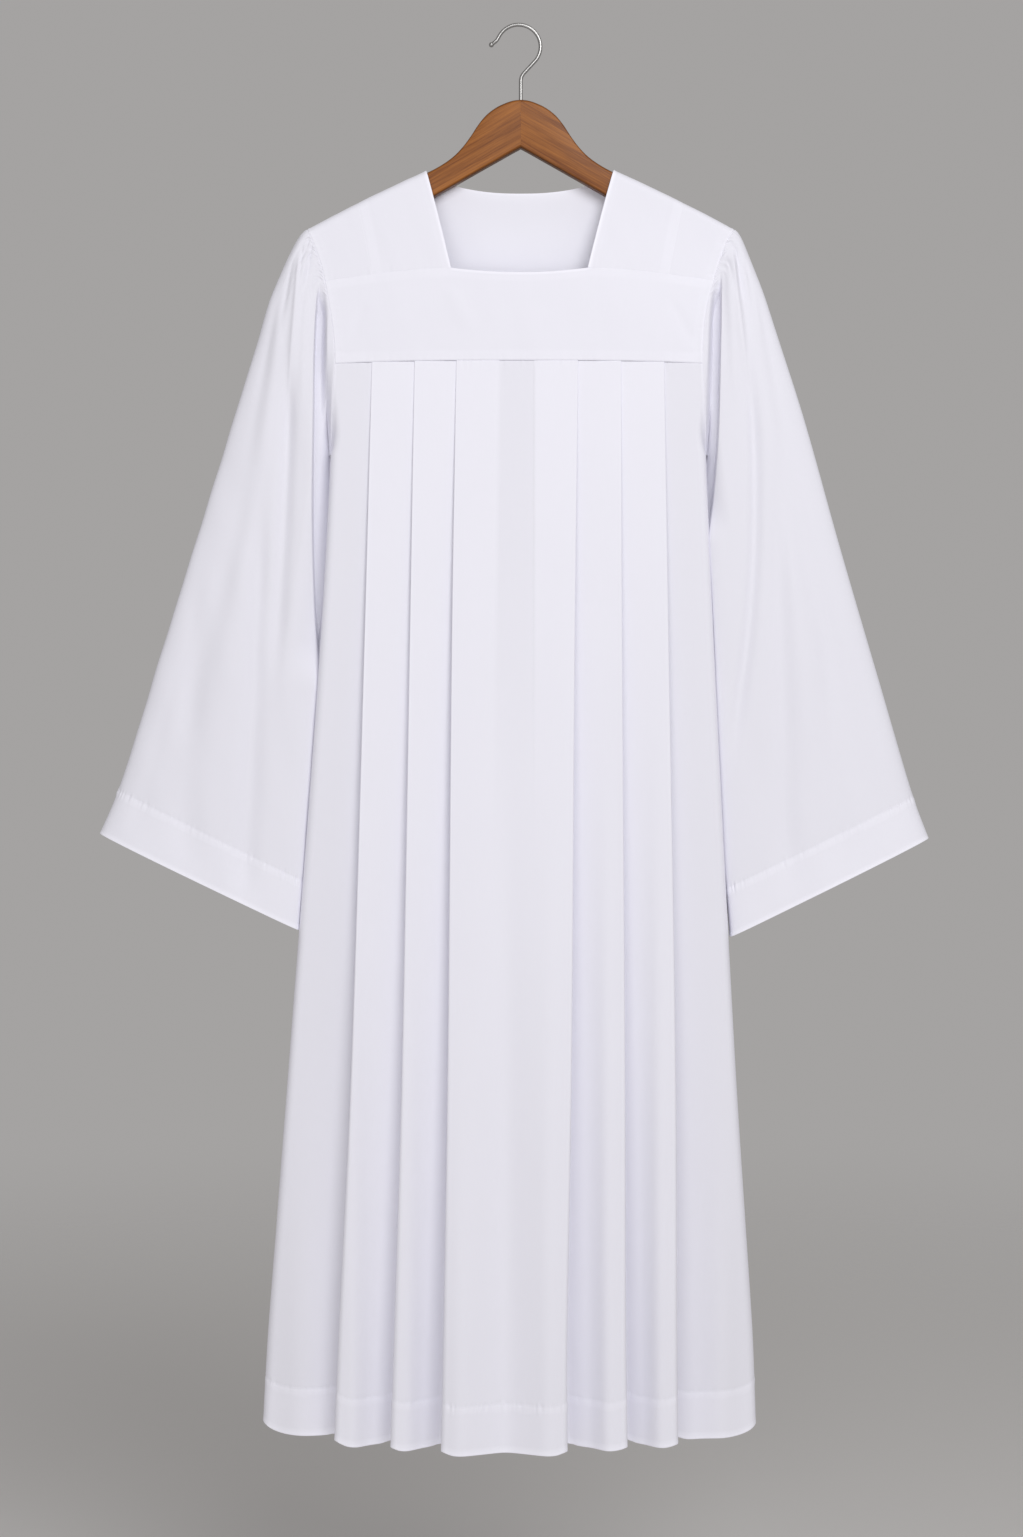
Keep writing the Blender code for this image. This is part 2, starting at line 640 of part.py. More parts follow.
def make_front_yoke():
    """Band between the neck and the pleats."""
    arm_top = cross_seam_z(ARM_REACH_AT_CROSS_SEAM)
    arm_end = yoke_end_z(ARM_REACH_AT_YOKE_END)

    def surface(place, row):
        across = place * 2.0 - 1.0
        arm_z = mix(arm_top, arm_end, row)
        reach = abs(across) * yoke_reach(arm_z, arm_top, arm_end)
        top = front_neck_z(reach) - SEAM_GAP / 2
        end = yoke_end_z(reach) + SEAM_GAP / 2
        x = CENTRE_X + math.copysign(reach, across)
        return yoke_point(x, mix(top, end, row), -1)

    rows = YOKE_ROW_SHARES
    places = [yoke_places(NECK_BOTTOM_REACH / ARM_REACH_AT_CROSS_SEAM)] * len(rows)
    return cloth_solid("front_yoke", thick_grid(surface, places, rows, [WALL] * len(rows)))


def back_neck_z(reach):
    """Top edge of the back yoke: the curved neck, and outwards the seam behind the shoulder."""
    if reach < BACK_NECK_REACH:
        return BACK_NECK_Z + BACK_NECK_RISE * (reach / BACK_NECK_REACH) ** BACK_NECK_POWER
    return ridge_z(reach) - BACK_SEAM_DROP


def make_back_yoke():
    """Back of the garment from the neck to the pleats, in one piece."""
    arm_top = ridge_z(arm_reach(BACK_SEAM_DROP)) - BACK_SEAM_DROP
    arm_mid = cross_seam_z(ARM_REACH_AT_CROSS_SEAM)
    arm_end = yoke_end_z(ARM_REACH_AT_YOKE_END)
    mid_row = (arm_top - arm_mid) / (arm_top - arm_end)

    def edge_reach(row):
        if row < mid_row:
            return mix(arm_reach(BACK_SEAM_DROP), ARM_REACH_AT_CROSS_SEAM, row / mid_row)
        return yoke_reach(mix(arm_top, arm_end, row), arm_mid, arm_end)

    def surface(place, row):
        across = place * 2.0 - 1.0
        reach = abs(across) * edge_reach(row)
        top = back_neck_z(reach) - SEAM_GAP
        end = yoke_end_z(reach) + SEAM_GAP / 2
        x = CENTRE_X + math.copysign(reach, across)
        return yoke_point(x, mix(top, end, row), 1)

    rows = [0.0, mid_row / 2] + [mix(mid_row, 1.0, share) for share in YOKE_ROW_SHARES]
    places = [yoke_places(BACK_NECK_REACH / arm_reach(BACK_SEAM_DROP))] * len(rows)
    return cloth_solid("back_yoke", thick_grid(surface, places, rows, [WALL] * len(rows)))


# Skirts

# Bend: a round that the cloth's line wraps, and the way the line turns there (1 to its left)
Bend = namedtuple("Bend", "x y radius turn")


def run_heading(first, second):
    """Heading of the straight run that leaves one bend and meets the next."""
    dx = second.x - first.x
    dy = second.y - first.y
    shift = second.turn * second.radius - first.turn * first.radius
    return math.atan2(dy, dx) - math.asin(shift / math.hypot(dx, dy))


def bend_point(bend, heading):
    """Point on a bend where the line runs along a heading, and the line's left-hand normal."""
    normal = Vector((-math.sin(heading), math.cos(heading)))
    return Vector((bend.x, bend.y)) - normal * (bend.turn * bend.radius), normal


def wrapped_line(bends, first_heading, last_heading, first_run, last_run, run_steps):
    """Line of cloth that wraps the bends in turn, as (point, normal) pairs seen from above."""
    headings = [first_heading]
    for first, second in zip(bends, bends[1:]):
        headings.append(run_heading(first, second))
    headings.append(last_heading)
    start, normal = bend_point(bends[0], first_heading)
    ahead = Vector((math.cos(first_heading), math.sin(first_heading)))
    line = [(start - ahead * first_run, normal)]
    for index, bend in enumerate(bends):
        turn = (headings[index + 1] - headings[index]) * bend.turn
        turn = turn % (2 * math.pi)
        if turn > math.pi * 1.6:
            turn = 0.01
        for step in range(ARC_STEPS + 1):
            heading = headings[index] + bend.turn * turn * step / ARC_STEPS
            line.append(bend_point(bend, heading))
        if index < len(bends) - 1:
            after, after_normal = bend_point(bends[index + 1], headings[index + 1])
            before = line[-1][0]
            for step in range(1, run_steps[index]):
                line.append((before.lerp(after, step / run_steps[index]), after_normal))
    end, normal = line[-1]
    ahead = Vector((math.cos(last_heading), math.sin(last_heading)))
    line.append((end + ahead * last_run, normal))
    return line


def side_start(z, seam_y):
    """Turn of the cloth at the side, and the straight run from there to the side seam."""
    progress = min((YOKE_END_Z - z) / (YOKE_END_Z - UNDERARM_Z), 1.0) ** 2
    fall = (YOKE_END_Z - z) / (YOKE_END_Z - HEM_Z)
    level = mix(SIDE_LEVEL_TOP, SIDE_LEVEL_HEM, max(fall, 0.0))
    turn = math.radians(90.0) * progress
    run = mix(EDGE_RUN, max(level - SIDE_RADIUS + seam_y, EDGE_RUN), progress)
    return turn, level, run


def skirt_line(folds, sides, z, seam_y):
    """Cloth line of one row of a skirt, from its left edge to its right edge, seen from above."""
    fall = (YOKE_END_Z - z) / (YOKE_END_Z - HEM_Z)
    depth_share = max(fall, 0.0) ** DEPTH_POWER
    edge_radius = mix(FOLD_RADIUS_YOKE, EDGE_RADIUS_HEM, depth_share)
    tuck_radius = mix(FOLD_RADIUS_YOKE, TUCK_RADIUS_HEM, depth_share)
    tuck_width = mix(TUCK_WIDTH_YOKE, TUCK_WIDTH_HEM, depth_share)
    turn, level, run = side_start(z, seam_y)
    left_x = along_table(SKIRT_LEVELS, sides[0], fall)
    right_x = along_table(SKIRT_LEVELS, sides[1], fall)
    inset = SIDE_RADIUS * math.sin(turn) + run * math.cos(turn)
    bends = [Bend(left_x + inset, SIDE_RADIUS - level, SIDE_RADIUS, 1)]
    run_steps = [SIDE_PANEL_STEPS]
    for fold in folds:
        edge_x = along_table(SKIRT_LEVELS, fold[2:7], fall)
        edge_level = mix(TUCK_LEVEL_YOKE + 4 * FOLD_RADIUS_YOKE, fold.edge_hem, depth_share)
        tuck_level = mix(TUCK_LEVEL_YOKE, fold.tuck_hem, depth_share)
        edge = Bend(edge_x - fold.half * edge_radius, edge_radius - edge_level, edge_radius, 1)
        tuck = Bend(edge_x - fold.half * (tuck_width - tuck_radius), -tuck_level - tuck_radius,
                    tuck_radius, -1)
        if fold.half < 0:
            bends += [tuck, edge]
            run_steps += [1, PANEL_STEPS]
        else:
            bends += [edge, tuck]
            run_steps += [1, PANEL_STEPS]
    bends.append(Bend(right_x - inset, SIDE_RADIUS - level, SIDE_RADIUS, 1))
    middle = 1 + 2 * sum(1 for fold in folds if fold.half < 0)
    run_steps[middle - 1] = CENTRE_STEPS
    run_steps[-1] = SIDE_PANEL_STEPS
    return wrapped_line(bends, -turn, turn, run, run, run_steps)


def swell_at(swells, x, fall):
    """How far forward the soft swells carry the cloth."""
    total = 0.0
    for swell in swells:
        grow = smooth((fall - swell.start) / (swell.full - swell.start))
        fade = 1.0 - smooth((fall - swell.fade) / (swell.end - swell.fade))
        total += swell.forward * grow * fade * bell(x - swell.x, swell.width)
    return total


def hem_z_at(x):
    """Height of the hem's edge, a little higher at the sides."""
    share = min(abs(x - CENTRE_X) / HEM_LIFT_REACH, 1.05)
    return HEM_Z + HEM_LIFT_AT_SIDE * share**HEM_LIFT_POWER


def skirt_rows():
    """Heights of a skirt's rows, with each one's wall and how far it follows the hem's curve."""
    rows = [(None, WALL, 0.0)]
    rows += [(z, WALL, 0.0) for z in UNDERARM_ROW_Z + LOWER_ROW_Z]
    band_z = HEM_Z + HEM_BAND
    rows.append((band_z + HEM_STEP, WALL, 1.0))
    rows.append((band_z, HEM_WALL, 1.0))
    rows.append((HEM_Z, HEM_WALL, 1.0))
    return rows


def make_skirt(name, folds, swells, sides, face):
    """Pleated skirt from the yoke seam to the hem. The face is -1 at the front and 1 at the back."""
    grid = []
    for z, wall, follow in skirt_rows():
        level = z if z is not None else YOKE_END_Z
        fall = (YOKE_END_Z - level) / (YOKE_END_Z - HEM_Z)
        line = skirt_line(folds, sides, level, -face * SEAM_Y_HEM * fall - SEAM_GAP / 2)
        entries = []
        for index, (point, normal) in enumerate(line):
            forward = swell_at(swells, point.x, fall)
            height = level + follow * (hem_z_at(point.x) - HEM_Z)
            if z is None:
                height = yoke_end_z(min(abs(point.x - CENTRE_X), ARM_REACH_AT_YOKE_END)) - SEAM_GAP / 2
            pair = []
            for offset in (-wall / 2, wall / 2):
                place = point + normal * offset
                pair.append(Vector((place.x, -face * (place.y - forward), height)))
            entries.append((index / (len(line) - 1), pair[0], pair[1]))
        grid.append(entries)
    return cloth_solid(name, grid)


# Sleeves


def armhole_line(side, face, sides):
    """Corners of the armhole from the shoulder point to the underarm, on one face."""
    line = []
    low_drop = ridge_z(ARM_REACH_AT_CROSS_SEAM) - cross_seam_z(ARM_REACH_AT_CROSS_SEAM)
    for angle in (0.0, 30.0, 60.0, 90.0):
        line.append(shoulder_point(side, face, angle, 0.0, SHOULDER_POINT_REACH,
                                   ARM_REACH_AT_CROSS_SEAM, low_drop))
    for fraction in SHOULDER_ROWS:
        line.append(shoulder_point(side, face, None, fraction, SHOULDER_POINT_REACH,
                                   ARM_REACH_AT_CROSS_SEAM, low_drop))
    arm_top = cross_seam_z(ARM_REACH_AT_CROSS_SEAM)
    arm_end = yoke_end_z(ARM_REACH_AT_YOKE_END)
    for share in YOKE_ROW_SHARES[1:]:
        z = mix(arm_top, arm_end, share)
        line.append(yoke_point(CENTRE_X + side * yoke_reach(z, arm_top, arm_end), z, face))
    for z in UNDERARM_ROW_Z:
        ends = skirt_line(FRONT_FOLDS, sides, z, -SEAM_GAP / 2)
        point = ends[0][0] if side < 0 else ends[-1][0]
        line.append(Vector((point.x, -face * point.y, z)))
    return line


def point_on_line(line, fraction):
    """Point at a fraction of a line's length, along its straight pieces."""
    lengths = [(after - before).length for before, after in zip(line, line[1:])]
    remaining = fraction * sum(lengths)
    for index, length in enumerate(lengths):
        if remaining <= length or index == len(lengths) - 1:
            return line[index].lerp(line[index + 1], min(remaining / length, 1.0))
        remaining -= length
    return line[-1]


def sleeve_folds_at(folds, x, z):
    """How far the long folds lift the cloth off a sleeve's face."""
    total = 0.0
    for fold in folds:
        t = (fold.top_z - z) / (fold.top_z - fold.low_z)
        line_x = mix(fold.top_x, fold.low_x, min(max(t, -FOLD_OVERRUN), 1.0 + FOLD_OVERRUN))
        reach = smooth((t + FOLD_LEAD) / FOLD_GROWTH) * (1.0 - smooth((t - FOLD_FADE_START) / FOLD_FADE))
        total += fold.height * reach * bell(x - line_x, fold.width)
    return total


def inner_fold_share(side, line, x, z):
    """Share of its depth that a sleeve's front face keeps near the fold beside the body."""
    stops = [-row.z for row in line]
    fold_x = along_table(stops, [row.x for row in line], -z)
    inward = -side * (x - fold_x)
    window = smooth((INNER_FOLD_TOP_Z - z) / INNER_FOLD_TOP_FADE)
    window *= 1.0 - smooth((INNER_FOLD_END_Z - z) / INNER_FOLD_END_FADE)
    strip = 1.0 - smooth((STRIP_TOP_Z - z) / STRIP_LENGTH)
    strip *= smooth((inward - STRIP_START) / STRIP_STEP)
    drop = INNER_FOLD_DROP * smooth((inward + INNER_FOLD_STEP / 3) / INNER_FOLD_STEP) * (1.0 - strip)
    crest = INNER_FOLD_CREST * bell(inward + INNER_FOLD_STEP * 2 / 3, INNER_CREST_WIDTH)
    return 1.0 + window * (crest - drop)


def sleeve_surface(side, table, sides, front_folds, back_folds, inner_fold):
    """Surface of a sleeve's middle, as a function of the place round it and the way along it."""
    stops = [row.along for row in table]
    columns = {field: [getattr(row, field) for row in table] for field in SleeveRow._fields}
    holes = {face: armhole_line(side, face, sides) for face in (-1, 1)}

    def surface(place, along):
        place = place % 1.0
        angle = 2 * math.pi * place
        face = -1 if place <= 0.5 else 1
        across = (1.0 - math.cos(angle)) / 2
        read = {field: along_table(stops, columns[field], along) for field in SleeveRow._fields}
        x = mix(read["outer_x"], read["inner_x"], across)
        z = mix(read["outer_z"], read["inner_z"], across)
        depth = read["half_depth"] * abs(math.sin(angle)) ** SLEEVE_ROUNDNESS
        lift = sleeve_folds_at(front_folds if face < 0 else back_folds, x, z)
        flat = math.sin(angle) ** 2
        y = read["back"] + face * (depth + lift * min(flat * 4, 1.0))
        hole = point_on_line(holes[face], across)
        widening = smooth((across - UNDERARM_GAP_START) / UNDERARM_GAP_SPAN)
        hole.x += side * mix(ARMHOLE_GAP, UNDERARM_GAP, widening)
        blend = smooth(along / SLEEVE_BLEND)
        point = hole.lerp(Vector((x, y, z)), blend)
        out = min(along * SHOULDER_PUSH_RATE, SHOULDER_PUSH) * smooth(across / PUSH_END_SHARE)
        back_in = min(along * UNDERARM_PUSH_RATE, UNDERARM_PUSH)
        back_in *= smooth((across - 1.0 + PUSH_END_SHARE) / PUSH_END_SHARE)
        point.x += side * (out - back_in) * (1.0 - blend)
        if face < 0:
            share = inner_fold_share(side, inner_fold, point.x, point.z)
            roll = smooth(along / EDGE_ROLL_ALONG) * smooth((1.0 - across) / EDGE_ROLL)
            point.y *= mix(1.0, share, roll)
        wave = (across - GATHER_START) / (GATHER_END - GATHER_START)
        if 0.0 < wave < 1.0:
            strength = smooth(along / GATHER_PEAK) * (1.0 - smooth((along - GATHER_PEAK) / GATHER_FADE))
            rise = math.sin(2 * math.pi * GATHERS * wave) * strength * smooth(min(wave, 1 - wave) * 8)
            point.y += face * GATHER_HEIGHT * rise
            point.z += GATHER_HEIGHT * GATHER_RISE * rise
        return point

    return surface


def sleeve_places():
    """Places round a sleeve: many over the gathered cap, and fewer below it."""
    coarse = [index / FACE_COLUMNS / 2 for index in range(FACE_COLUMNS * 2)]
    fine = []
    count = GATHERS * GATHER_COLUMNS
    for index in range(count + 1):
        across = mix(GATHER_START, GATHER_END, index / count)
        fine.append(math.acos(1.0 - 2.0 * across) / (2 * math.pi))
    first, last = fine[0], fine[-1]
    keep = [place for place in coarse if not first <= min(place, 1.0 - place) <= last]
    cap = sorted(keep + fine + [1.0 - place for place in fine])
    return cap, coarse


def make_sleeve(name, side, table, sides, front_folds, back_folds, inner_fold):
    """Bell sleeve, gathered at the cap and doubled at the cuff."""
    surface = sleeve_surface(side, table, sides, front_folds, back_folds, inner_fold)
    cap, coarse = sleeve_places()
    rows = list(CAP_ROWS) + list(SLEEVE_ROWS)
    rows += [CUFF_STITCH_ALONG + 0.0012, 1.0]
    walls = [WALL] * (len(rows) - 2) + [HEM_WALL, HEM_WALL]
    places = [cap] * len(CAP_ROWS) + [coarse] * (len(rows) - len(CAP_ROWS))
    return cloth_solid(name, thick_grid(surface, places, rows, walls, closed=True), closed=True)


def main():
    clear_scene()
    cutter = hole_cutter()
    make_hook()
    make_arm("hanger_arm_left", -1, cutter)
    make_arm("hanger_arm_right", 1, cutter)
    make_shoulders()
    make_front_yoke()
    make_back_yoke()
    sides = (LEFT_SIDE, RIGHT_SIDE)
    make_skirt("front_skirt", FRONT_FOLDS, FRONT_SWELLS, sides, -1)
    make_skirt("back_skirt", BACK_FOLDS, BACK_SWELLS, sides, 1)
    make_sleeve("sleeve_left", -1, LEFT_SLEEVE, sides, LEFT_FRONT_FOLDS, LEFT_BACK_FOLDS,
                LEFT_INNER_FOLD)
    make_sleeve("sleeve_right", 1, RIGHT_SLEEVE, sides, RIGHT_FRONT_FOLDS, RIGHT_BACK_FOLDS,
                RIGHT_INNER_FOLD)


main()
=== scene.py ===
"""Looks of a white choir surplice on a wooden hanger.

Each sewn piece is a thin shell that follows the same kind of sections as its solid, with finer folds,
gathers, seams and puckers. The hanger's arms and hook are finer versions of their solids. The front faces
-Y, up is +Z, and the origin is the underside of the hook's top. A side is -1 for the left and 1 for the
right, and a face is -1 for the front and 1 for the back.
"""

import math
from collections import namedtuple

import bpy
import numpy as np
from bpy.props import FloatProperty, FloatVectorProperty, PointerProperty
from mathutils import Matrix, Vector


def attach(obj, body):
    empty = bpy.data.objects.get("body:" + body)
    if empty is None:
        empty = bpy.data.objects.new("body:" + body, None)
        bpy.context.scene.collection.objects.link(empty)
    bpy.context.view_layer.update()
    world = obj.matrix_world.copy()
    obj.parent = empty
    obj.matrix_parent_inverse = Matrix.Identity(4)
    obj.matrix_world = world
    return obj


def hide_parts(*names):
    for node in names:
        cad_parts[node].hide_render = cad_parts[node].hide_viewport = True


bl_info = {
    "name": "Surplice on a hanger",
    "version": (1, 0, 0),
    "blender": (4, 5, 0),
    "location": "View3D > Sidebar > Surplice",
    "description": "Builds the cloth, sewing and hanger of a choir surplice round its packed model",
    "category": "Object",
}

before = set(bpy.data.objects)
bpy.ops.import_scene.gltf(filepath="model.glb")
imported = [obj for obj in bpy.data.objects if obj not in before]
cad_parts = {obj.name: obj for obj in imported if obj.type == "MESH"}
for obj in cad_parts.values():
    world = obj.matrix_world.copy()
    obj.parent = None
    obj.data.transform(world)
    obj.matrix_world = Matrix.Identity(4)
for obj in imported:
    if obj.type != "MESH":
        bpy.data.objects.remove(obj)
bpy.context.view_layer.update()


def records(kind, *rows):
    """Records of a kind, one for each row of values."""
    return tuple(kind(*row) for row in rows)


# Sizes are in millimetres, and MM turns them into metres when a mesh is made.
MM = 0.001
WORDS = {-1: "left", 1: "right"}

# Middle of the garment and of the hanger
CENTRE_X = 2.4

# Gaps between pieces at their seams, which show as a fine line in the roll of the seam
SEAM_GAP = 0.04
ARMHOLE_GAP = 0.05
UNDERARM_GAP = 0.3

# Shoulder ridge, which the cloth folds over: distance from the middle and height of the cloth there
NECK_POINT_REACH = 98.3
NECK_POINT_REACHES = {-1: 100.0, 1: NECK_POINT_REACH}
NECK_POINT_Z = -152.6
SHOULDER_POINT_REACH = 226.0
SHOULDER_POINT_Z = -215.6
RIDGE_SLOPE_AT_NECK = 0.44
RIDGE_RADIUS = 9.5
RIDGE_SPREAD = 9.0
RIDGE_SPREAD_DROP = 150.0

# Yoke: heights of its seams and places of its edges, as distances from the middle
NECK_BOTTOM_REACH = 73.0
NECK_BOTTOM_REACHES = {-1: 73.6, 1: 70.4}
NECK_BOTTOM_Z = -258.4
NECK_BOTTOM_SAG = 5.0
CROSS_SEAM_FALL = 13.5
CROSS_SEAM_POWER = 1.6
ARM_REACH_AT_CROSS_SEAM = 205.0
YOKE_END_Z = -356.0
YOKE_END_FALL = 3.6
YOKE_END_POWER = 3
ARM_REACH_AT_YOKE_END = 195.6
PANEL_SEAM_TOP_REACH = 172.0
PANEL_SEAM_LOW_REACH = 156.5
BACK_SEAM_DROP = 20.0
BACK_NECK_REACH = 77.0
BACK_NECK_Z = -174.6
BACK_NECK_RISE = 10.0
BACK_NECK_POWER = 2.4

# Armhole seam from the shoulder point to the yoke's lower edge: its height, and its distance from the
# middle on each side
ArmholeRow = namedtuple("ArmholeRow", "z left right")
ARMHOLE = records(
    ArmholeRow,
    (-215.6, 226.0, 226.0),
    (-228.0, 220.4, 218.0),
    (-243.0, 214.4, 211.8),
    (-260.0, 209.2, 206.4),
    (-275.0, 206.0, 202.1),
    (-290.0, 203.2, 197.9),
    (-306.0, 200.4, 194.6),
    (-322.0, 198.0, 192.5),
    (-338.0, 196.4, 191.5),
    (-357.0, 195.6, 191.2),
)

# Skirts: levels of the underarm and the hem, and the hem's stitch line
UNDERARM_Z = -453.0
HEM_Z = -1493.0
HEM_SIDE_LIFTS = {-1: 5.5, 1: 2.6}
HEM_SIDE_START = 165.0
HEM_SIDE_END = 210.0
HEM_CORNER_LIFT = 13.0
HEM_CORNER = 12.0
HEM_FOLD_LIFT = 3.2
HEM_FOLD_REACH = 8.0
HEM_BAND = 49.5
HEM_TURN_UNDER = 8.5
SKIRT_TUCK_UNDER = 2.5
SKIRT_TUCK_DEPTH = 1.5
TOP_BLEND_END_Z = -395.0
HEM_FOLLOW_START_Z = -1270.0
SIDE_RADIUS = 8.0
EDGE_RUN = 0.6
SIDE_LEVEL_TOP = 18.2
SIDE_LEVEL_HEM = 15.0
SEAM_Y_HEM = 4.0

# Edges of a skirt and of its folds: their x at five levels, from the yoke to the hem, as shares of the
# skirt's length
SKIRT_LEVELS = (0.0, 0.26, 0.65, 0.90, 1.0)
EDGE_COLUMNS = "x_yoke x_waist x_knee x_band x_hem"
SideEdge = namedtuple("SideEdge", EDGE_COLUMNS)
SIDE_EDGES = {
    -1: SideEdge(-193.2, -208.7, -242.0, -263.4, -269.2),
    1: SideEdge(193.6, 205.9, 228.6, 246.5, 250.4),
}

# Fold: its edge, the side that it faces, and how far forward its edge and the tuck behind it stand at the
# hem. The tables run from left to right, for the front skirt and the back one.
Fold = namedtuple("Fold", EDGE_COLUMNS + " side edge_hem tuck_hem")
FOLDS = {
    -1: records(
        Fold,
        (-154.1, -161.8, -174.6, -187.5, -191.7, -1, 49.0, 18.0),
        (-109.3, -114.2, -121.6, -129.5, -132.9, -1, 63.0, 29.0),
        (-65.3, -69.7, -73.4, -77.5, -79.7, -1, 79.0, 41.0),
        (62.6, 58.6, 54.8, 49.9, 49.8, 1, 79.0, 39.0),
        (107.8, 108.3, 110.8, 111.4, 112.4, 1, 63.0, 27.0),
        (153.2, 157.2, 164.0, 165.1, 165.7, 1, 49.0, 17.0),
    ),
    1: records(
        Fold,
        (-152.0, -160.0, -173.0, -182.0, -186.0, -1, 38.0, 10.0),
        (-107.0, -112.0, -119.0, -124.0, -127.0, -1, 47.0, 15.0),
        (-63.0, -65.0, -68.0, -70.0, -71.0, -1, 56.0, 22.0),
        (66.0, 67.0, 69.0, 72.0, 73.0, 1, 56.0, 22.0),
        (110.0, 112.0, 116.0, 120.0, 123.0, 1, 47.0, 15.0),
        (155.0, 159.0, 168.0, 174.0, 178.0, 1, 38.0, 10.0),
    ),
}
DEPTH_POWER = 1.15
TUCK_LEVEL_YOKE = 16.6
EDGE_LEVEL_YOKE = 18.05
FOLD_RADIUS_YOKE = 0.40
EDGE_RADIUS_HEM = 4.5
EDGE_RADIUS_POWER = 2.2
TUCK_ROUND_SHARE = 0.28
TUCK_WIDTH_YOKE = 10.0
TUCK_WIDTH_HEM = 9.0

# A turn round a bend that comes out past this is a slight one the other way, and is taken as next to none
LARGEST_TURN = math.radians(288.0)
NO_TURN = 0.01

# Band of single cloth down the middle of the front, between the soft edges of a box pleat
BAND_LEFT = (-20.5, -28.0)
BAND_RIGHT = (16.6, 16.0)
BAND_DEPTH = 0.7
BAND_LEFT_SOFTNESS = 7.0
BAND_RIGHT_SOFTNESS = 1.8
BAND_FADE_START = 0.12
BAND_FADE_END = 0.50
BAND_SHARES = {-1: 1.0, 1: 0.6}
PLEAT_LAYERS_YOKE = 0.36
PLEAT_LAYERS_HEM = 0.17
PLEAT_LAYERS_SOFTNESS = 2.0

# Soft swells and troughs on the skirts' panels: place and width across, height forward, and the shares
# of the skirt's length between which each one grows
Swell = namedtuple("Swell", "x width forward start full")
SWELLS = {
    -1: records(
        Swell,
        (-60.0, 16.0, 6.0, 0.55, 1.00),
        (-14.0, 20.0, -10.0, 0.12, 0.90),
        (31.0, 15.0, 5.0, 0.30, 1.00),
        (-229.0, 24.0, 7.0, 0.55, 1.00),
        (212.0, 18.0, 7.0, 0.55, 1.00),
        (-172.0, 13.0, 7.5, 0.35, 1.00),
        (-115.0, 12.0, 6.2, 0.35, 1.00),
        (91.0, 11.0, 7.5, 0.25, 1.00),
        (146.0, 11.0, 7.5, 0.25, 1.00),
    ),
    1: records(
        Swell,
        (-168.0, 13.0, 4.0, 0.35, 1.00),
        (-106.0, 13.0, 4.0, 0.35, 1.00),
        (104.0, 13.0, 4.0, 0.35, 1.00),
        (160.0, 13.0, 4.0, 0.35, 1.00),
        (0.0, 22.0, -9.0, 0.45, 1.00),
        (-226.0, 18.0, 7.0, 0.55, 1.00),
        (216.0, 16.0, 6.0, 0.55, 1.00),
    ),
}

# Sleeves, a row for each section from armhole to cuff: how far along the sleeve, its outer edge, the
# height of its inner edge, half its depth front to back, and how far behind the middle plane it hangs
SleeveRow = namedtuple("SleeveRow", "along outer_x outer_z inner_z half_depth back")
SLEEVES = {
    -1: records(
        SleeveRow,
        (0.00, -224.0, -216.0, -455.0, 15.0, 0.0),
        (0.04, -240.0, -233.0, -478.0, 17.5, 0.0),
        (0.10, -255.5, -268.0, -512.0, 19.0, 0.0),
        (0.20, -276.0, -333.0, -560.0, 19.0, 0.5),
        (0.35, -305.0, -428.0, -632.0, 18.0, 1.5),
        (0.55, -348.0, -565.0, -722.0, 18.5, 3.5),
        (0.75, -390.0, -700.0, -812.0, 21.0, 6.0),
        (0.93, -424.5, -810.0, -906.0, 25.0, 6.0),
        (1.00, -443.6, -855.0, -957.0, 27.0, 6.0),
    ),
    1: records(
        SleeveRow,
        (0.00, 228.8, -216.0, -455.0, 15.0, 0.0),
        (0.04, 241.0, -235.0, -480.0, 17.5, 0.0),
        (0.10, 253.5, -266.0, -515.0, 19.0, 0.0),
        (0.20, 274.0, -328.0, -570.0, 19.0, 0.5),
        (0.35, 303.0, -418.0, -645.0, 18.0, 1.5),
        (0.55, 341.0, -552.0, -733.0, 18.5, 4.0),
        (0.75, 383.0, -694.0, -822.0, 21.0, 8.0),
        (0.93, 419.2, -817.0, -914.0, 25.0, 9.0),
        (1.00, 435.1, -860.0, -964.0, 27.0, 9.0),
    ),
}
SLEEVE_BLEND = 0.14
CAP_BULGE = 2.2
CAP_BULGE_PLACE = 0.05
CAP_BULGE_LENGTH = 0.035
CAP_BULGE_ACROSS = 0.35
CAP_BULGE_START = 0.02
SLEEVE_ROUNDNESS = 0.7
INNER_ROUNDNESS = 0.30
INNER_ROUNDING = (0.5, 0.9)
SHOULDER_PUSH_RATE = 250.0
SHOULDER_PUSH = 6.0
UNDERARM_PUSH_RATE = 120.0
UNDERARM_PUSH = 3.0
PUSH_END_SHARE = 0.2
UNDERARM_WIDENING = (0.62, 0.87)
CUFF_STITCH_ALONG = 0.93

# Gap between a sleeve's inner edge and the body's side: at the underarm, above the cuff and at the cuff,
# and the stretches along the sleeve over which it changes
UNDERARM_CLEARANCE = -1.2
SIDE_CLEARANCE = 0.1
CUFF_CLEARANCES = {-1: 0.6, 1: 3.2}
SIDE_STRETCH = (0.08, 0.28)
CUFF_STRETCH = (0.88, 1.0)

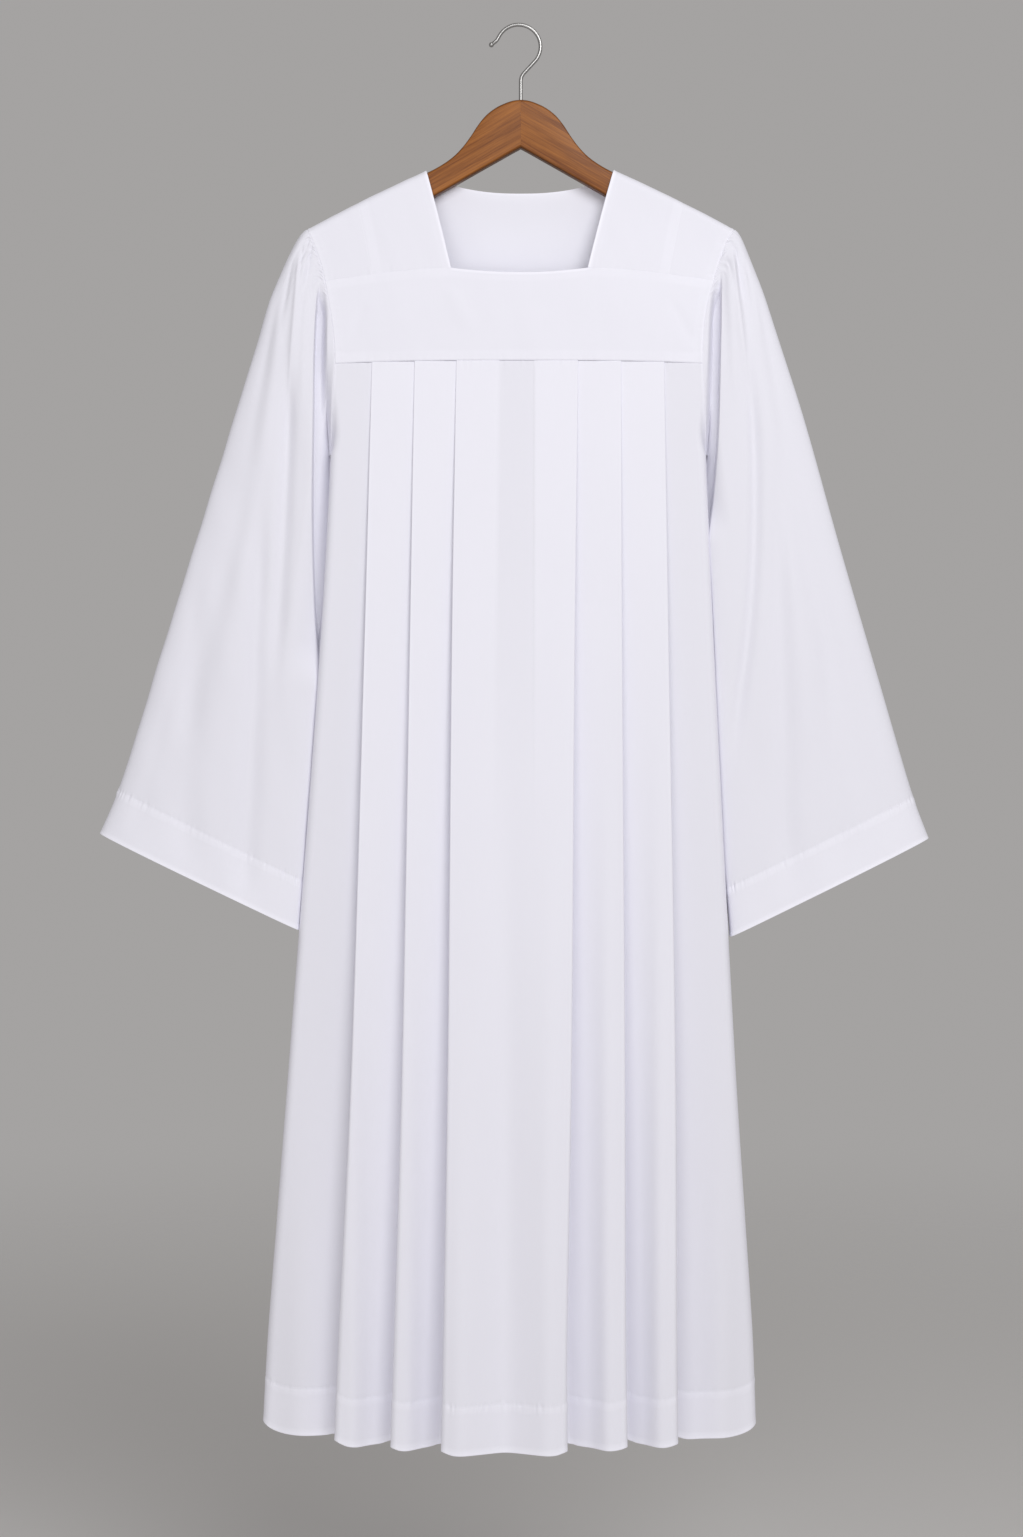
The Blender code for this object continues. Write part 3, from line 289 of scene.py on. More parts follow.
# Fold where a sleeve's front face turns in towards the body: its line, the share of the depth that it
# drops by, and the strip beside the armhole that rises again
InnerFold = namedtuple("InnerFold", "z x")
INNER_FOLDS = {
    -1: records(
        InnerFold,
        (-268.0, -210.5),
        (-285.0, -212.0),
        (-330.0, -214.5),
        (-400.0, -215.5),
        (-455.0, -216.5),
        (-560.0, -216.5),
        (-625.0, -214.8),
        (-665.0, -212.0),
        (-700.0, -210.2),
    ),
    1: records(
        InnerFold,
        (-256.0, 215.0),
        (-285.0, 213.6),
        (-332.0, 212.4),
        (-416.0, 210.6),
        (-459.0, 208.4),
        (-501.0, 205.2),
        (-522.0, 202.8),
        (-550.0, 200.6),
    ),
}
INNER_FOLD_TOP_FADE = 42.0
INNER_FOLD_END_FADE = 45.0
INNER_FOLD_DROP = 0.85
INNER_FOLD_STEP = 3.0
INNER_FOLD_OVERHANG = 2.2
INNER_FOLD_OVERHANG_PLACE = 2.4
INNER_FOLD_OVERHANG_WIDTH = 2.4
INNER_FOLD_CREST = 0.04
INNER_CREST_PLACE = -4.0
INNER_CREST_WIDTH = 9.0
EDGE_ROLL = 0.02
EDGE_ROLL_ALONG = 0.035
CREVICE_DEPTH = 11.0
CREVICE_START = 0.72
STRIP_TOP_Z = -330.0
STRIP_LENGTH = 115.0
STRIP_START = 6.0
STRIP_STEP = 8.0

# Crease: a soft ridge or trough on a face, from an upper to a lower end, with its width at each end, its
# height (a trough is below 0), the shares of its length over which it grows and fades, and its bow sideways
Crease = namedtuple("Crease", "top_x top_z low_x low_z top_width low_width height grow fade bow")
SLEEVE_FRONT_CREASES = {
    -1: records(
        Crease,
        (-224.0, -262.0, -228.0, -430.0, 4.0, 6.0, 1.8, 0.15, 0.40, 0.0),
        (-240.0, -320.0, -264.0, -760.0, 6.0, 11.0, -5.5, 0.25, 0.35, 4.0),
        (-220.5, -224.0, -231.5, -252.0, 1.2, 1.6, -1.2, 0.20, 0.40, 1.5),
        (-217.5, -229.0, -227.5, -262.0, 1.2, 2.0, -1.1, 0.20, 0.50, 2.0),
        (-219.0, -242.0, -228.5, -330.0, 2.2, 4.5, -1.6, 0.15, 0.45, -2.0),
        (-236.5, -250.0, -250.0, -350.0, 3.0, 6.0, 1.0, 0.20, 0.50, 0.0),
        (-250.0, -300.0, -330.0, -830.0, 12.0, 18.0, 2.0, 0.30, 0.30, 0.0),
        (-262.0, -420.0, -385.0, -850.0, 12.0, 16.0, -1.8, 0.30, 0.20, 0.0),
        (-252.0, -262.0, -300.0, -560.0, 4.0, 10.0, -1.2, 0.20, 0.60, 0.0),
        (-246.0, -262.0, -286.0, -620.0, 4.0, 12.0, 1.2, 0.20, 0.60, 0.0),
        (-228.0, -232.0, -233.0, -300.0, 1.5, 3.0, -1.5, 0.10, 0.60, 0.0),
        (-238.0, -246.0, -252.0, -330.0, 1.6, 4.0, -1.3, 0.12, 0.60, 0.0),
        (-270.0, -440.0, -291.0, -935.0, 9.0, 13.0, -5.0, 0.35, 0.10, 3.0),
        (-338.0, -520.0, -352.0, -915.0, 12.0, 16.0, -2.4, 0.40, 0.15, 0.0),
        (-350.0, -640.0, -410.0, -872.0, 9.0, 12.0, -0.9, 0.40, 0.20, 0.0),
    ),
    1: records(
        Crease,
        (220.5, -258.0, 229.5, -420.0, 4.0, 6.0, 2.0, 0.15, 0.40, 0.0),
        (231.0, -240.0, 246.0, -430.0, 3.0, 9.0, -1.4, 0.20, 0.40, 2.0),
        (220.5, -248.0, 232.0, -300.0, 1.6, 3.0, -1.0, 0.20, 0.50, 1.0),
        (236.0, -248.0, 258.0, -345.0, 3.0, 6.0, 1.0, 0.25, 0.50, 0.0),
        (242.0, -350.0, 214.0, -820.0, 6.0, 8.0, -4.6, 0.20, 0.30, 19.0),
        (246.0, -300.0, 322.0, -840.0, 12.0, 18.0, 2.0, 0.30, 0.30, 0.0),
        (268.0, -420.0, 378.0, -860.0, 12.0, 16.0, -1.8, 0.30, 0.20, 0.0),
        (250.0, -258.0, 296.0, -540.0, 4.0, 10.0, -1.2, 0.20, 0.60, 0.0),
        (229.0, -234.0, 236.0, -310.0, 1.5, 3.0, -1.5, 0.10, 0.60, 0.0),
        (239.0, -244.0, 254.0, -340.0, 1.6, 4.0, -1.3, 0.12, 0.60, 0.0),
        (272.0, -400.0, 284.0, -925.0, 9.0, 14.0, -3.6, 0.35, 0.15, 0.0),
        (322.0, -560.0, 338.0, -915.0, 12.0, 16.0, -2.0, 0.40, 0.15, 0.0),
        (344.0, -640.0, 398.0, -872.0, 9.0, 12.0, -0.9, 0.40, 0.20, 0.0),
    ),
}
SLEEVE_BACK_CREASES = {
    -1: records(
        Crease,
        (-232.0, -236.0, -244.0, -390.0, 2.6, 5.0, -2.4, 0.10, 0.35, 1.5),
        (-218.0, -238.0, -228.0, -320.0, 2.2, 4.5, -1.6, 0.15, 0.45, -2.0),
        (-240.0, -240.0, -280.0, -760.0, 10.0, 14.0, -4.0, 0.20, 0.30, 0.0),
        (-256.0, -320.0, -350.0, -840.0, 14.0, 18.0, 4.0, 0.30, 0.20, 0.0),
    ),
    1: records(
        Crease,
        (226.0, -234.0, 244.0, -390.0, 2.4, 5.0, -2.4, 0.10, 0.35, -1.5),
        (220.0, -242.0, 231.0, -320.0, 2.0, 4.5, -1.4, 0.15, 0.45, 2.0),
        (240.0, -240.0, 284.0, -760.0, 10.0, 14.0, -4.0, 0.20, 0.30, 0.0),
        (258.0, -320.0, 344.0, -840.0, 14.0, 18.0, 4.0, 0.30, 0.20, 0.0),
    ),
}
YOKE_CREASES = {
    -1: records(
        Crease,
        (-72.0, -276.0, -52.0, -330.0, 7.0, 12.0, 0.8, 0.30, 0.40, 0.0),
        (158.0, -285.0, 186.0, -345.0, 6.0, 8.0, -0.9, 0.30, 0.30, 0.0),
        (-162.0, -290.0, -176.0, -345.0, 6.0, 9.0, -0.6, 0.30, 0.30, 0.0),
        (20.0, -290.0, 6.0, -350.0, 16.0, 18.0, 0.6, 0.40, 0.30, 0.0),
    ),
    1: records(
        Crease,
        (-60.0, -200.0, -80.0, -330.0, 16.0, 20.0, 0.8, 0.30, 0.30, 0.0),
        (70.0, -210.0, 84.0, -335.0, 14.0, 20.0, 0.7, 0.30, 0.30, 0.0),
    ),
}

# Gore edge: the line where one gore of a sleeve cap stands in front of the next, from an upper to a lower
# end. The face slopes away on its outer side over a reach that grows down the line, and it is level on
# the inner side over a width.
GoreEdge = namedtuple("GoreEdge", "top_x top_z low_x low_z top_reach low_reach width height grow fade")
GORE_EDGES = {
    -1: GoreEdge(-231.0, -238.0, -246.0, -430.0, 3.0, 6.5, 10.0, 4.8, 0.12, 0.50),
    1: GoreEdge(225.5, -236.0, 243.5, -390.0, 3.0, 6.5, 9.0, 4.6, 0.12, 0.45),
}

# Gathers in a sleeve cap: the stretch of the armhole that holds them on each face, how fast they start
# and end there, and how uneven they are along it
GATHER_START = 0.035
GATHER_END = 0.36
GATHER_START_RATE = 14.0
GATHER_END_RATE = 12.0
ARMHOLE_LENGTH = 250.0
UNEVEN_WAVE = 11.27
UNEVEN_MEAN = 0.75
UNEVEN_RANGE = 0.35
UNEVEN_LIMITS = (0.3, 1.2)
UNEVEN_SEED = 5

# Gather: the small crimps at the seam, then the longer folds below them. The width and height of one, how
# far down it has grown and how far it reaches, its lean down the sleeve, how much its place wanders and
# over what length, how soft its troughs are, the height that counts as level, and its seed
Gather = namedtuple("Gather", "wave depth grown reach lean stray stray_wave softness level seed")
GATHERS = records(
    Gather,
    (4.9, 1.0, 1.2, 10.0, 0.50, 0.4, 15.19, 1.1, 0.6, 0),
    (13.5, 1.1, 9.0, 50.0, 0.15, 0.5, 36.45, 1.8, 0.5, 9),
)

# Sewn edges: seam allowances that show through, the roll of the cloth into a seam, and puckers
ALLOWANCE = 9.0
ALLOWANCE_RAISE = 0.12
ALLOWANCE_EDGE = 2.8
NECK_BAND = 8.0
# Width of the painted highlight along the neck's rolled edge
NECK_HIGHLIGHT_WIDTH = 1.3
SEAM_ROLL_REACH = 1.3
FLAT_SEAM_DEPTH = 0.14
YOKE_SEAM_DEPTH = 0.55
ARMHOLE_SEAM_DEPTH = 0.35
ARMHOLE_RIDGE = 0.35
ARMHOLE_RIDGE_PLACE = 1.6
ARMHOLE_RIDGE_WIDTH = 1.3
PUCKER_HEIGHT = 0.25
PUCKER_REACH = 7.0
PUCKER_WAVE = 8.5
PUCKER_UNEVENNESS = 0.4
PUCKER_UNEVEN_WAVES = 6.0
SHOULDER_ARM_PUCKER = 0.325
YOKE_PUCKER = 0.48
HEM_PUCKER = 0.85
HEM_PUCKER_WAVE = 5.6
HEM_PUCKER_NARROWING = {-1: 1.3, 1: 2.5}
HEM_RAISE = 0.16
HEM_TOP_SOFTNESS = 0.4
TURN_RAISE = 0.10
TURN_STRAY = 0.9
TURN_STRAY_WAVE = 34.0
TURN_SEED = 7
TURN_SOFTNESS = 2.2
STITCH_DENT = 0.22
STITCH_DENT_WIDTH = 0.8
# Width of the painted highlight along the edge of a hem or cuff
HEM_HIGHLIGHT_WIDTH = 0.8
HEM_EXTRA = 0.35
NECK_HEM_REACH = 2.0
SKIRT_HEM_REACH = 2.5
LEAST_TAPER = 0.12

# Seeds of the puckers and waves, by face or by side. Pieces that share a seam share its puckers.
TOP_SEAM_PUCKERS = {-1: 72, 1: 82}
YOKE_END_PUCKERS = {-1: 72, 1: 74}
YOKE_ARM_PUCKERS = {-1: 74, 1: 84}
YOKE_TINTS = {-1: 71, 1: 81}
SHOULDER_ARM_PUCKERS = {-1: 16, 1: 18}
HEM_PUCKERS = {-1: 30, 1: 32}
CUFF_PUCKERS = {-1: 50, 1: 52}
CAP_GATHERS = {-1: 90, 1: 92}

# Sway: slow unevenness of a kind of piece, as the seeds of its waves, their length, their height and how
# much they lean
Sway = namedtuple("Sway", "seeds wave height lean")
SHOULDER_SWAY = Sway({-1: 60, 1: 62}, 34.0, 0.12, 0.40)
YOKE_SWAY = Sway({-1: 75, 1: 85}, 46.0, 0.12, 0.30)
SKIRT_SWAY = Sway({-1: 34, 1: 36}, 70.0, 0.35, 0.0)
SLEEVE_SWAY = Sway({-1: 96, 1: 98}, 60.0, 0.30, 0.35)

# How fast the sways grow from the yoke's seam and the armhole, and a sleeve's creases from the armhole
# and from its edges
SKIRT_SWAY_RATE = 3.0
SLEEVE_SWAY_TOP = 60.0
SLEEVE_CREASE_TOP = 5.0
SLEEVE_CREASE_RATE = 8.0

# Tints that extra layers give: in the yokes, at the top and lower down, beside seams, in hems and where
# their edges turn under. Lower down, the back yoke's tint is painted light inside the neck, and the rims
# of the neck, armholes, hems, folds and skirt sides are painted highlights.
YOKE_LAYERS_AND_PAINTED_LIGHT = {-1: (0.22, 0.22), 1: (0.28, 0.80)}
YOKE_PAINTED_LIGHT_TOP_Z = -187.0
YOKE_PAINTED_LIGHT_SPAN = 60.0
SHOULDER_LAYERS = 0.15
SEAM_TINT = 0.17
SEAM_TINT_MEAN = 0.85
SEAM_TINT_RANGE = 0.35
SEAM_TINT_WAVE = 90.0
YOKE_END_SHARE = 1.1
# Painted highlight along the yokes' neck edge
YOKE_NECK_HIGHLIGHT = 0.8
SHOULDER_NECK_BAND = 0.1
# Painted highlight along the shoulder pieces' neck edge
SHOULDER_NECK_HIGHLIGHT = 0.9
ARMHOLE_TINT = 0.08
# Painted highlight along the rim where the cloth turns into the armhole seam
ARMHOLE_HIGHLIGHT = 0.35
ARMHOLE_HIGHLIGHT_PLACE = 0.8
ARMHOLE_HIGHLIGHT_WIDTH = 1.0
HEM_TINT = 0.28
TURN_TINT = 0.44
# Painted highlights along the skirts' fold edges and side edges, stronger on the folds that face left
FOLD_HIGHLIGHTS = {-1: 0.60, 1: 0.12}
FOLD_HIGHLIGHT_INSET = 0.6
FOLD_HIGHLIGHT_WIDTH = 0.9
SIDE_HIGHLIGHT = 0.45
SIDE_HIGHLIGHT_INSET = 0.5
SIDE_HIGHLIGHT_WIDTH = 1.1

# Resolution of the cloth: steps away from a sewn edge and from a free one, in millimetres, and counts
EDGE_STEPS = (0.0, 0.25, 0.6, 1.1, 1.8, 3.0, 4.8)
EDGE_ROUNDING = (0.0, 0.12, 0.32, 0.62, 1.1)
ARC_STEPS = 7
SIDE_PANEL_STEPS = 32
PANEL_STEPS = 18
CENTRE_STEPS = 108
TUCK_RUN_STEPS = 3
REACH_ROUNDS = 8
YOKE_COLUMNS = {-1: 170, 1: 150}
YOKE_ROWS = {-1: 44, 1: 64}
INNER_SHOULDER_COLUMNS = 44
OUTER_SHOULDER_COLUMNS = 30
SHOULDER_ARC_STEPS = 18
SHOULDER_FRONT_STEPS = 34
SHOULDER_RIDGE_STEPS = 5
SHOULDER_BACK_SHARES = (0.25, 0.5, 0.7, 0.85, 0.93, 1.0)
MEAN_FRONT_DROP = 62.0
ARMHOLE_DEGREES = range(0, 91, 10)
ARMHOLE_YOKE_STEPS = 26
ARMHOLE_SIDE_STEPS = 12

# Rows of a skirt: their heights above and below its seam, then spans that end above a height, and the row
# that has one more beside it where their count is even
SKIRT_TUCK_ROWS = (SKIRT_TUCK_UNDER, 0.6)
SKIRT_TOP_STEPS = (*EDGE_STEPS, 8.0, 12.0, 18.0, 25.0)
RowSpan = namedtuple("RowSpan", "first_step end step")
SKIRT_SPANS = records(
    RowSpan,
    (7.0, HEM_Z + HEM_BAND + 20.0, 9.5),
    (5.0, HEM_Z + HEM_BAND - HEM_TURN_UNDER - 4.0, 2.0),
    (5.0, HEM_Z + 4.0, 5.0),
)
SKIRT_EXTRA_ROW = 20

# Rows of a sleeve: its mean length, the rows beside the armhole, the spans down the cap and their counts,
# the share of the length on each side of the cuff's stitch line that has close rows, the counts above,
# beside and below that line, and the row that has one more beside it where their count is even
SLEEVE_LENGTH = 650.0
CAP_EDGE_ROWS = EDGE_STEPS[:5]
CAP_SPANS = ((2.7, 22.0, 22), (24.0, 150.0, 50))
STITCH_ROWS_SHARE = 0.02
BODY_ROWS = 60
STITCH_ROWS = 16
CUFF_ROWS = 8
SLEEVE_EXTRA_ROW = 50

# Columns of a sleeve: the share of the front face that lies outside the fold beside the body, the number
# of columns outside it, inside it and on the back, and how their spacing changes towards it. The fold's
# place on each row is found on probe columns, and is evened out over neighbouring rows.
FOLD_PLACE = 0.55
OUTSIDE_COLUMNS = 150
INSIDE_COLUMNS = 120
BACK_COLUMNS = 80
OUTSIDE_POWERS = (1.6, 1.15)
INSIDE_POWERS = (1.3, 1.5)
FOLD_PLACE_LIMITS = (0.1, 0.93)
PROBE_COLUMNS = 161
EVENED_ROWS = 7
CAP_COLUMNS_SHARE = 0.40
CAP_COLUMNS_END = 0.045

# Stitches: their spacing in stitch lengths, the sides of the thread, its outline along one stitch, as
# shares of the length and of the thread's radius, and how far it stands up and bows down, in radii
STITCH_SPACING = 1.25
THREAD_SIDES = 6
THREAD_OUTLINE = ((-0.5, 0.35), (-0.38, 0.9), (0.0, 1.0), (0.38, 0.9), (0.5, 0.35))
THREAD_RISE = 0.1
THREAD_BOW = 2.6

# Hanger hook: bent wire with a ball end, screwed into the wood
WIRE_RADIUS = 2.0
BALL_RADIUS = 2.7
BALL_NECK = 2.6
BALL_ARC = (math.radians(140.0), math.radians(4.0))
BALL_STEPS = 14
BALL_TIP_RADIUS = 0.2
HOOK_RADIUS = 23.3
HOOK_ARC = (math.radians(-38.0), math.radians(150.0))
HOOK_ARC_STEPS = 64
HOOK_FLICK = 13.0
HOOK_FLICK_TURN = math.radians(22.0)
HOOK_FLICK_STRETCH = (0.35, 0.70)
HOOK_FLICK_SHARES = (0.15, 0.8)
HOOK_FLICK_STEPS = 7
STEM_TOP_Z = -53.0
STEM_END_Z = -97.0
STEM_BEND = 5.0
STEM_BEND_STEPS = 9
WIRE_SIDES = 24

# Hanger arms: distance from the middle, top edge, lower edge and half thickness
ArmStation = namedtuple("ArmStation", "reach top bottom half_thick")
ARM_STATIONS = records(
    ArmStation,
    (0.02, -78.4, -129.3, 7.0),
    (8.0, -79.4, -133.6, 7.0),
    (16.0, -82.0, -138.1, 7.0),
    (26.0, -86.8, -143.8, 7.0),
    (36.5, -94.8, -149.7, 7.0),
    (45.0, -105.0, -154.5, 7.0),
    (52.5, -116.5, -158.8, 7.0),
    (61.0, -128.0, -163.6, 7.0),
    (71.0, -138.4, -169.3, 7.0),
    (83.5, -147.4, -176.4, 7.0),
    (98.0, -155.2, -184.4, 7.0),
    (130.0, -168.6, -198.0, 6.8),
    (165.0, -185.5, -212.6, 6.5),
    (195.0, -200.7, -225.2, 6.2),
    (208.0, -208.8, -229.0, 5.6),
    (214.0, -214.8, -226.5, 3.6),
)
ARM_EDGE_RADIUS = 3.4
ARM_EDGE_SHARE = 0.9
ARM_CORNERS = ((1, 1, 0.0), (-1, 1, 90.0), (-1, -1, 180.0), (1, -1, 270.0))
ARM_CORNER_STEPS = 8
ARM_STEPS_PER_STATION = 5
ARM_TIP = ((0.8, 0.8), (0.45, 1.3))

# Angles past which two faces meet at a crease, in degrees
CLOTH_CREASE = 65.0
HANGER_CREASE = 40.0

# Finishes: how fine their noise is along each axis, where the wood's grain is darkest and lightest, how far
# it is shifted along each arm, in metres, and how light the marks on the wire are
SLUB_RATES = (900.0, 40.0, 1.0)
GRAIN_RATES = (7.0, 80.0, 170.0)
PORE_RATES = (28.0, 500.0, 950.0)
GRAIN_STOPS = (0.36, 0.60)
GRAIN_SHIFT = 0.37
WIRE_MARK_SHARE = 0.88

# Stage, in metres: the camera, at the photograph's viewing angle, the lights and what they face, and the
# floor
CAMERA_PLACE = (-0.0074, -2.8, -0.786)
CAMERA_LENS = 61.9
CAMERA_SENSOR = 36.0
LIGHT_TARGET = (0.0, 0.0, -0.8)
KEY_PLACE = (0.9, -2.6, 0.9)
KEY_SIZE = 2.0
FILL_PLACE = (-1.0, -3.4, -1.0)
FILL_SIZE = 2.4
FLOOR_Z = -1.78
FLOOR_RADIUS = 4.6
FLOOR_FADE = (0.8, 4.5)


# Curves and noise


def mix(a, b, t):
    """Value t of the way from a to b."""
    return a + (b - a) * t


def smooth(t):
    """Ease from 0 to 1 as t goes from 0 to 1."""
    t = np.clip(t, 0.0, 1.0)
    return t * t * (3.0 - 2.0 * t)


def ramp(place, start, end):
    """Ease from 0 at a start to 1 at an end."""
    return smooth((place - start) / (end - start))


def bell(offset, width):
    """A soft bump of height 1, centred where offset is 0."""
    return np.exp(-((offset / width) ** 2))


def along_table(stops, values, place):
    """Smooth curve through the values at the stops, read at places."""
    stops = np.asarray(stops, float)
    values = np.asarray(values, float)
    last = len(stops) - 1
    place = np.clip(place, stops[0], stops[-1])
    cell = np.clip(np.searchsorted(stops, place, side="right") - 1, 0, last - 1)

    def slope(knot):
        before = np.maximum(knot - 1, 0)
        after = np.minimum(knot + 1, last)
        return (values[after] - values[before]) / (stops[after] - stops[before])

    span = stops[cell + 1] - stops[cell]
    t = (place - stops[cell]) / span
    start = values[cell] * (2 * t**3 - 3 * t**2 + 1) + slope(cell) * span * (t**3 - 2 * t**2 + t)
    end = values[cell + 1] * (3 * t**2 - 2 * t**3) + slope(cell + 1) * span * (t**3 - t**2)
    return start + end


def wander(place, wave, seed):
    """Uneven smooth waves between about -1 and 1, with a mean wavelength."""
    draw = np.random.default_rng(seed)
    total = np.zeros(np.shape(place))
    for factor in (0.45, 0.71, 1.0, 1.43):
        phase = draw.uniform(0.0, 2 * math.pi)
        weight = draw.uniform(0.6, 1.0)
        total += weight * np.sin(2 * math.pi * np.asarray(place) * factor / wave + phase)
    return total / 2.2


def swaying(sway, which, place, z=0.0):
    """Lift of a piece's slow unevenness, on a face or a side."""
    return sway.height * wander(place + sway.lean * z, sway.wave, sway.seeds[which])


def crease_lift(creases, x, z):
    """How far a table of creases lifts a face at each point."""
    total = np.zeros(np.broadcast(x, z).shape)
    for crease in creases:
        t = (crease.top_z - z) / (crease.top_z - crease.low_z)
        inside = np.clip(t, 0.0, 1.0)
        line_x = mix(crease.top_x, crease.low_x, inside) + crease.bow * 4.0 * inside * (1.0 - inside)
        width = mix(crease.top_width, crease.low_width, inside)
        reach = smooth(t / crease.grow) * smooth((1.0 - t) / crease.fade)
        total += crease.height * reach * bell(x - line_x, width)
    return total


def gore_lift(side, x, z):
    """How far the edge of a gore lifts a sleeve's front face at each point."""
    edge = GORE_EDGES[side]
    t = (edge.top_z - z) / (edge.top_z - edge.low_z)
    inside = np.clip(t, 0.0, 1.0)
    beyond = (x - mix(edge.top_x, edge.low_x, inside)) * side
    sloping = np.exp(-np.maximum(beyond, 0.0) / mix(edge.top_reach, edge.low_reach, inside))
    level = bell(np.minimum(beyond, 0.0), edge.width)
    reach = smooth(t / edge.grow) * smooth((1.0 - t) / edge.fade)
    return edge.height * reach * sloping * level


# Pieces


def new_piece(name, points, faces, material, crease=None):
    """Smooth mesh from points in millimetres, sharp where its faces meet at more than the crease's angle."""
    mesh = bpy.data.meshes.new(name)
    mesh.from_pydata((np.asarray(points) * MM).tolist(), [], faces)
    mesh.shade_smooth()
    if crease:
        mesh.set_sharp_from_angle(angle=math.radians(crease))
    mesh.materials.append(material)
    piece = bpy.data.objects.new(name, mesh)
    bpy.context.collection.objects.link(piece)
    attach(piece, "root")
    return piece


def add_attribute(piece, name, kind, field, values):
    """Attribute on the points of a piece, for its material to read."""
    attribute = piece.data.attributes.new(name, kind, "POINT")
    attribute.data.foreach_set(field, values.astype(np.float32).ravel())


def tube_faces(rings, sides, first=0):
    """Faces of a closed tube over rings of vertices, with both its ends."""
    faces = []
    for ring in range(rings - 1):
        for step in range(sides):
            a = first + ring * sides + step
            b = first + ring * sides + (step + 1) % sides
            faces.append((a, b, b + sides, a + sides))
    faces.append(tuple(reversed(range(first, first + sides))))
    faces.append(tuple(range(first + (rings - 1) * sides, first + rings * sides)))
    return faces


# Cloth shells


def cloth_settings():
    """Settings of the cloth, as the panel shows them."""
    return bpy.context.scene.surplice_cloth


def lengths_along(points, axis):
    """Distance run along an axis of a grid of points, starting at 0."""
    steps = np.linalg.norm(np.diff(points, axis=axis), axis=-1)
    start = np.zeros_like(np.take(steps, [0], axis=axis))
    return np.concatenate([start, np.cumsum(steps, axis=axis)], axis=axis)


def edge_distances(grid):
    """Distances along the cloth from a grid's first row, last row, first column and last column."""
    down = lengths_along(grid, 0)
    across = lengths_along(grid, 1)
    return down, down[-1:] - down, across, across[:, -1:] - across


def grid_normals(grid, closed=False):
    """Normal at each point of a grid, from its neighbours."""
    if closed:
        across = np.roll(grid, -1, axis=1) - np.roll(grid, 1, axis=1)
    else:
        across = np.gradient(grid, axis=1)
    normal = np.cross(across, np.gradient(grid, axis=0))
    return normal / np.maximum(np.linalg.norm(normal, axis=2, keepdims=True), 1e-9)


def facing(normals, away):
    """Normals, all turned round if they point against a field of directions on the whole."""
    return normals if np.mean(np.sum(normals * away, axis=-1)) > 0 else -normals


def off_middle(grid):
    """Directions from the garment's middle plane to the points of a grid."""
    return np.sign(grid) * (0.0, 1.0, 0.0)


def shell_faces(rows, columns, closed, first):
    """Faces of one skin of a shell, as rows of vertex numbers."""
    row = np.arange(rows - 1)[:, None]
    column = np.arange(columns if closed else columns - 1)[None, :]
    beside = (column + 1) % columns
    corners = [row * columns + column, row * columns + beside,
               (row + 1) * columns + beside, (row + 1) * columns + column]
    return (np.stack([corner + 0 * row * column for corner in corners], axis=-1) + first).reshape(-1, 4)


def rim_faces(outer, inner):
    """Faces along an edge, from a fine line of vertices to one with every second of them."""
    return [(outer[2 * k], outer[2 * k + 1], outer[2 * k + 2], inner[k + 1], inner[k])
            for k in range(len(inner) - 1)]


def cloth_shell(name, grid, wall, layers_and_painted_light, normals, closed=False):
    """Thin closed shell of cloth round a grid of middle points, its outer side where the normals point.

    The lining side has every second row and column. The thread attribute holds the cloth's own
    directions in metres, and the other attribute says where more than one layer lies, with the painted
    highlights along rims and the painted light inside the back yoke.
    """
    rows, columns = grid.shape[:2]
    own = grid_normals(grid, closed)
    face = 1 if np.mean(np.sum(own * normals, axis=-1)) > 0 else -1
    half = own * (face * wall[..., None] / 2)
    outer = grid + half
    inner = (grid - half)[::2, ::2]
    inner_rows, inner_columns = inner.shape[:2]
    count = rows * columns
    faces = shell_faces(rows, columns, closed, 0).tolist()
    faces += shell_faces(inner_rows, inner_columns, closed, count)[:, ::-1].tolist()
    outer_index = np.arange(count).reshape(rows, columns)
    inner_index = count + np.arange(inner_rows * inner_columns).reshape(inner_rows, inner_columns)
    edges = []
    for edge in (0, -1):
        line, lining = outer_index[edge], inner_index[edge]
        if closed:
            line = np.append(line, line[0])
            lining = np.append(lining, lining[0])
        edges.append((line, lining, edge == 0))
    if not closed:
        for edge in (0, -1):
            edges.append((outer_index[:, edge], inner_index[:, edge], edge == -1))
    for line, lining, turned in edges:
        rim = rim_faces(line.tolist(), lining.tolist())
        faces += [tuple(reversed(corners)) for corners in rim] if turned else rim
    if face < 0:
        faces = [tuple(reversed(corners)) for corners in faces]
    points = np.concatenate([outer.reshape(-1, 3), inner.reshape(-1, 3)])
    piece = new_piece(name, points, faces, cloth_material(), CLOTH_CREASE)
    across = np.broadcast_to(lengths_along(grid[-1:], 1), (rows, columns))
    thread = np.stack([across, lengths_along(grid, 0), np.zeros((rows, columns))], axis=-1) * MM
    thread = np.concatenate([thread.reshape(-1, 3), thread[::2, ::2].reshape(-1, 3)])
    add_attribute(piece, "thread", "FLOAT_VECTOR", "vector", thread)
    # Layer tints, with the painted highlights and painted light, for the material
    layers = np.concatenate([layers_and_painted_light.ravel(), layers_and_painted_light[::2, ::2].ravel()])
    add_attribute(piece, "layers_and_painted_light", "FLOAT", "value", layers)
    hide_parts(name.removesuffix("_cloth"))
    return piece


def odd_count(count):
    """The count, or one more, so that every second point takes in both ends."""
    return count + 1 - count % 2


def with_odd_count(rows, place):
    """The rows, with one more halfway before a place if their count is even."""
    return rows if len(rows) % 2 else np.insert(rows, place, (rows[place - 1] + rows[place]) / 2)


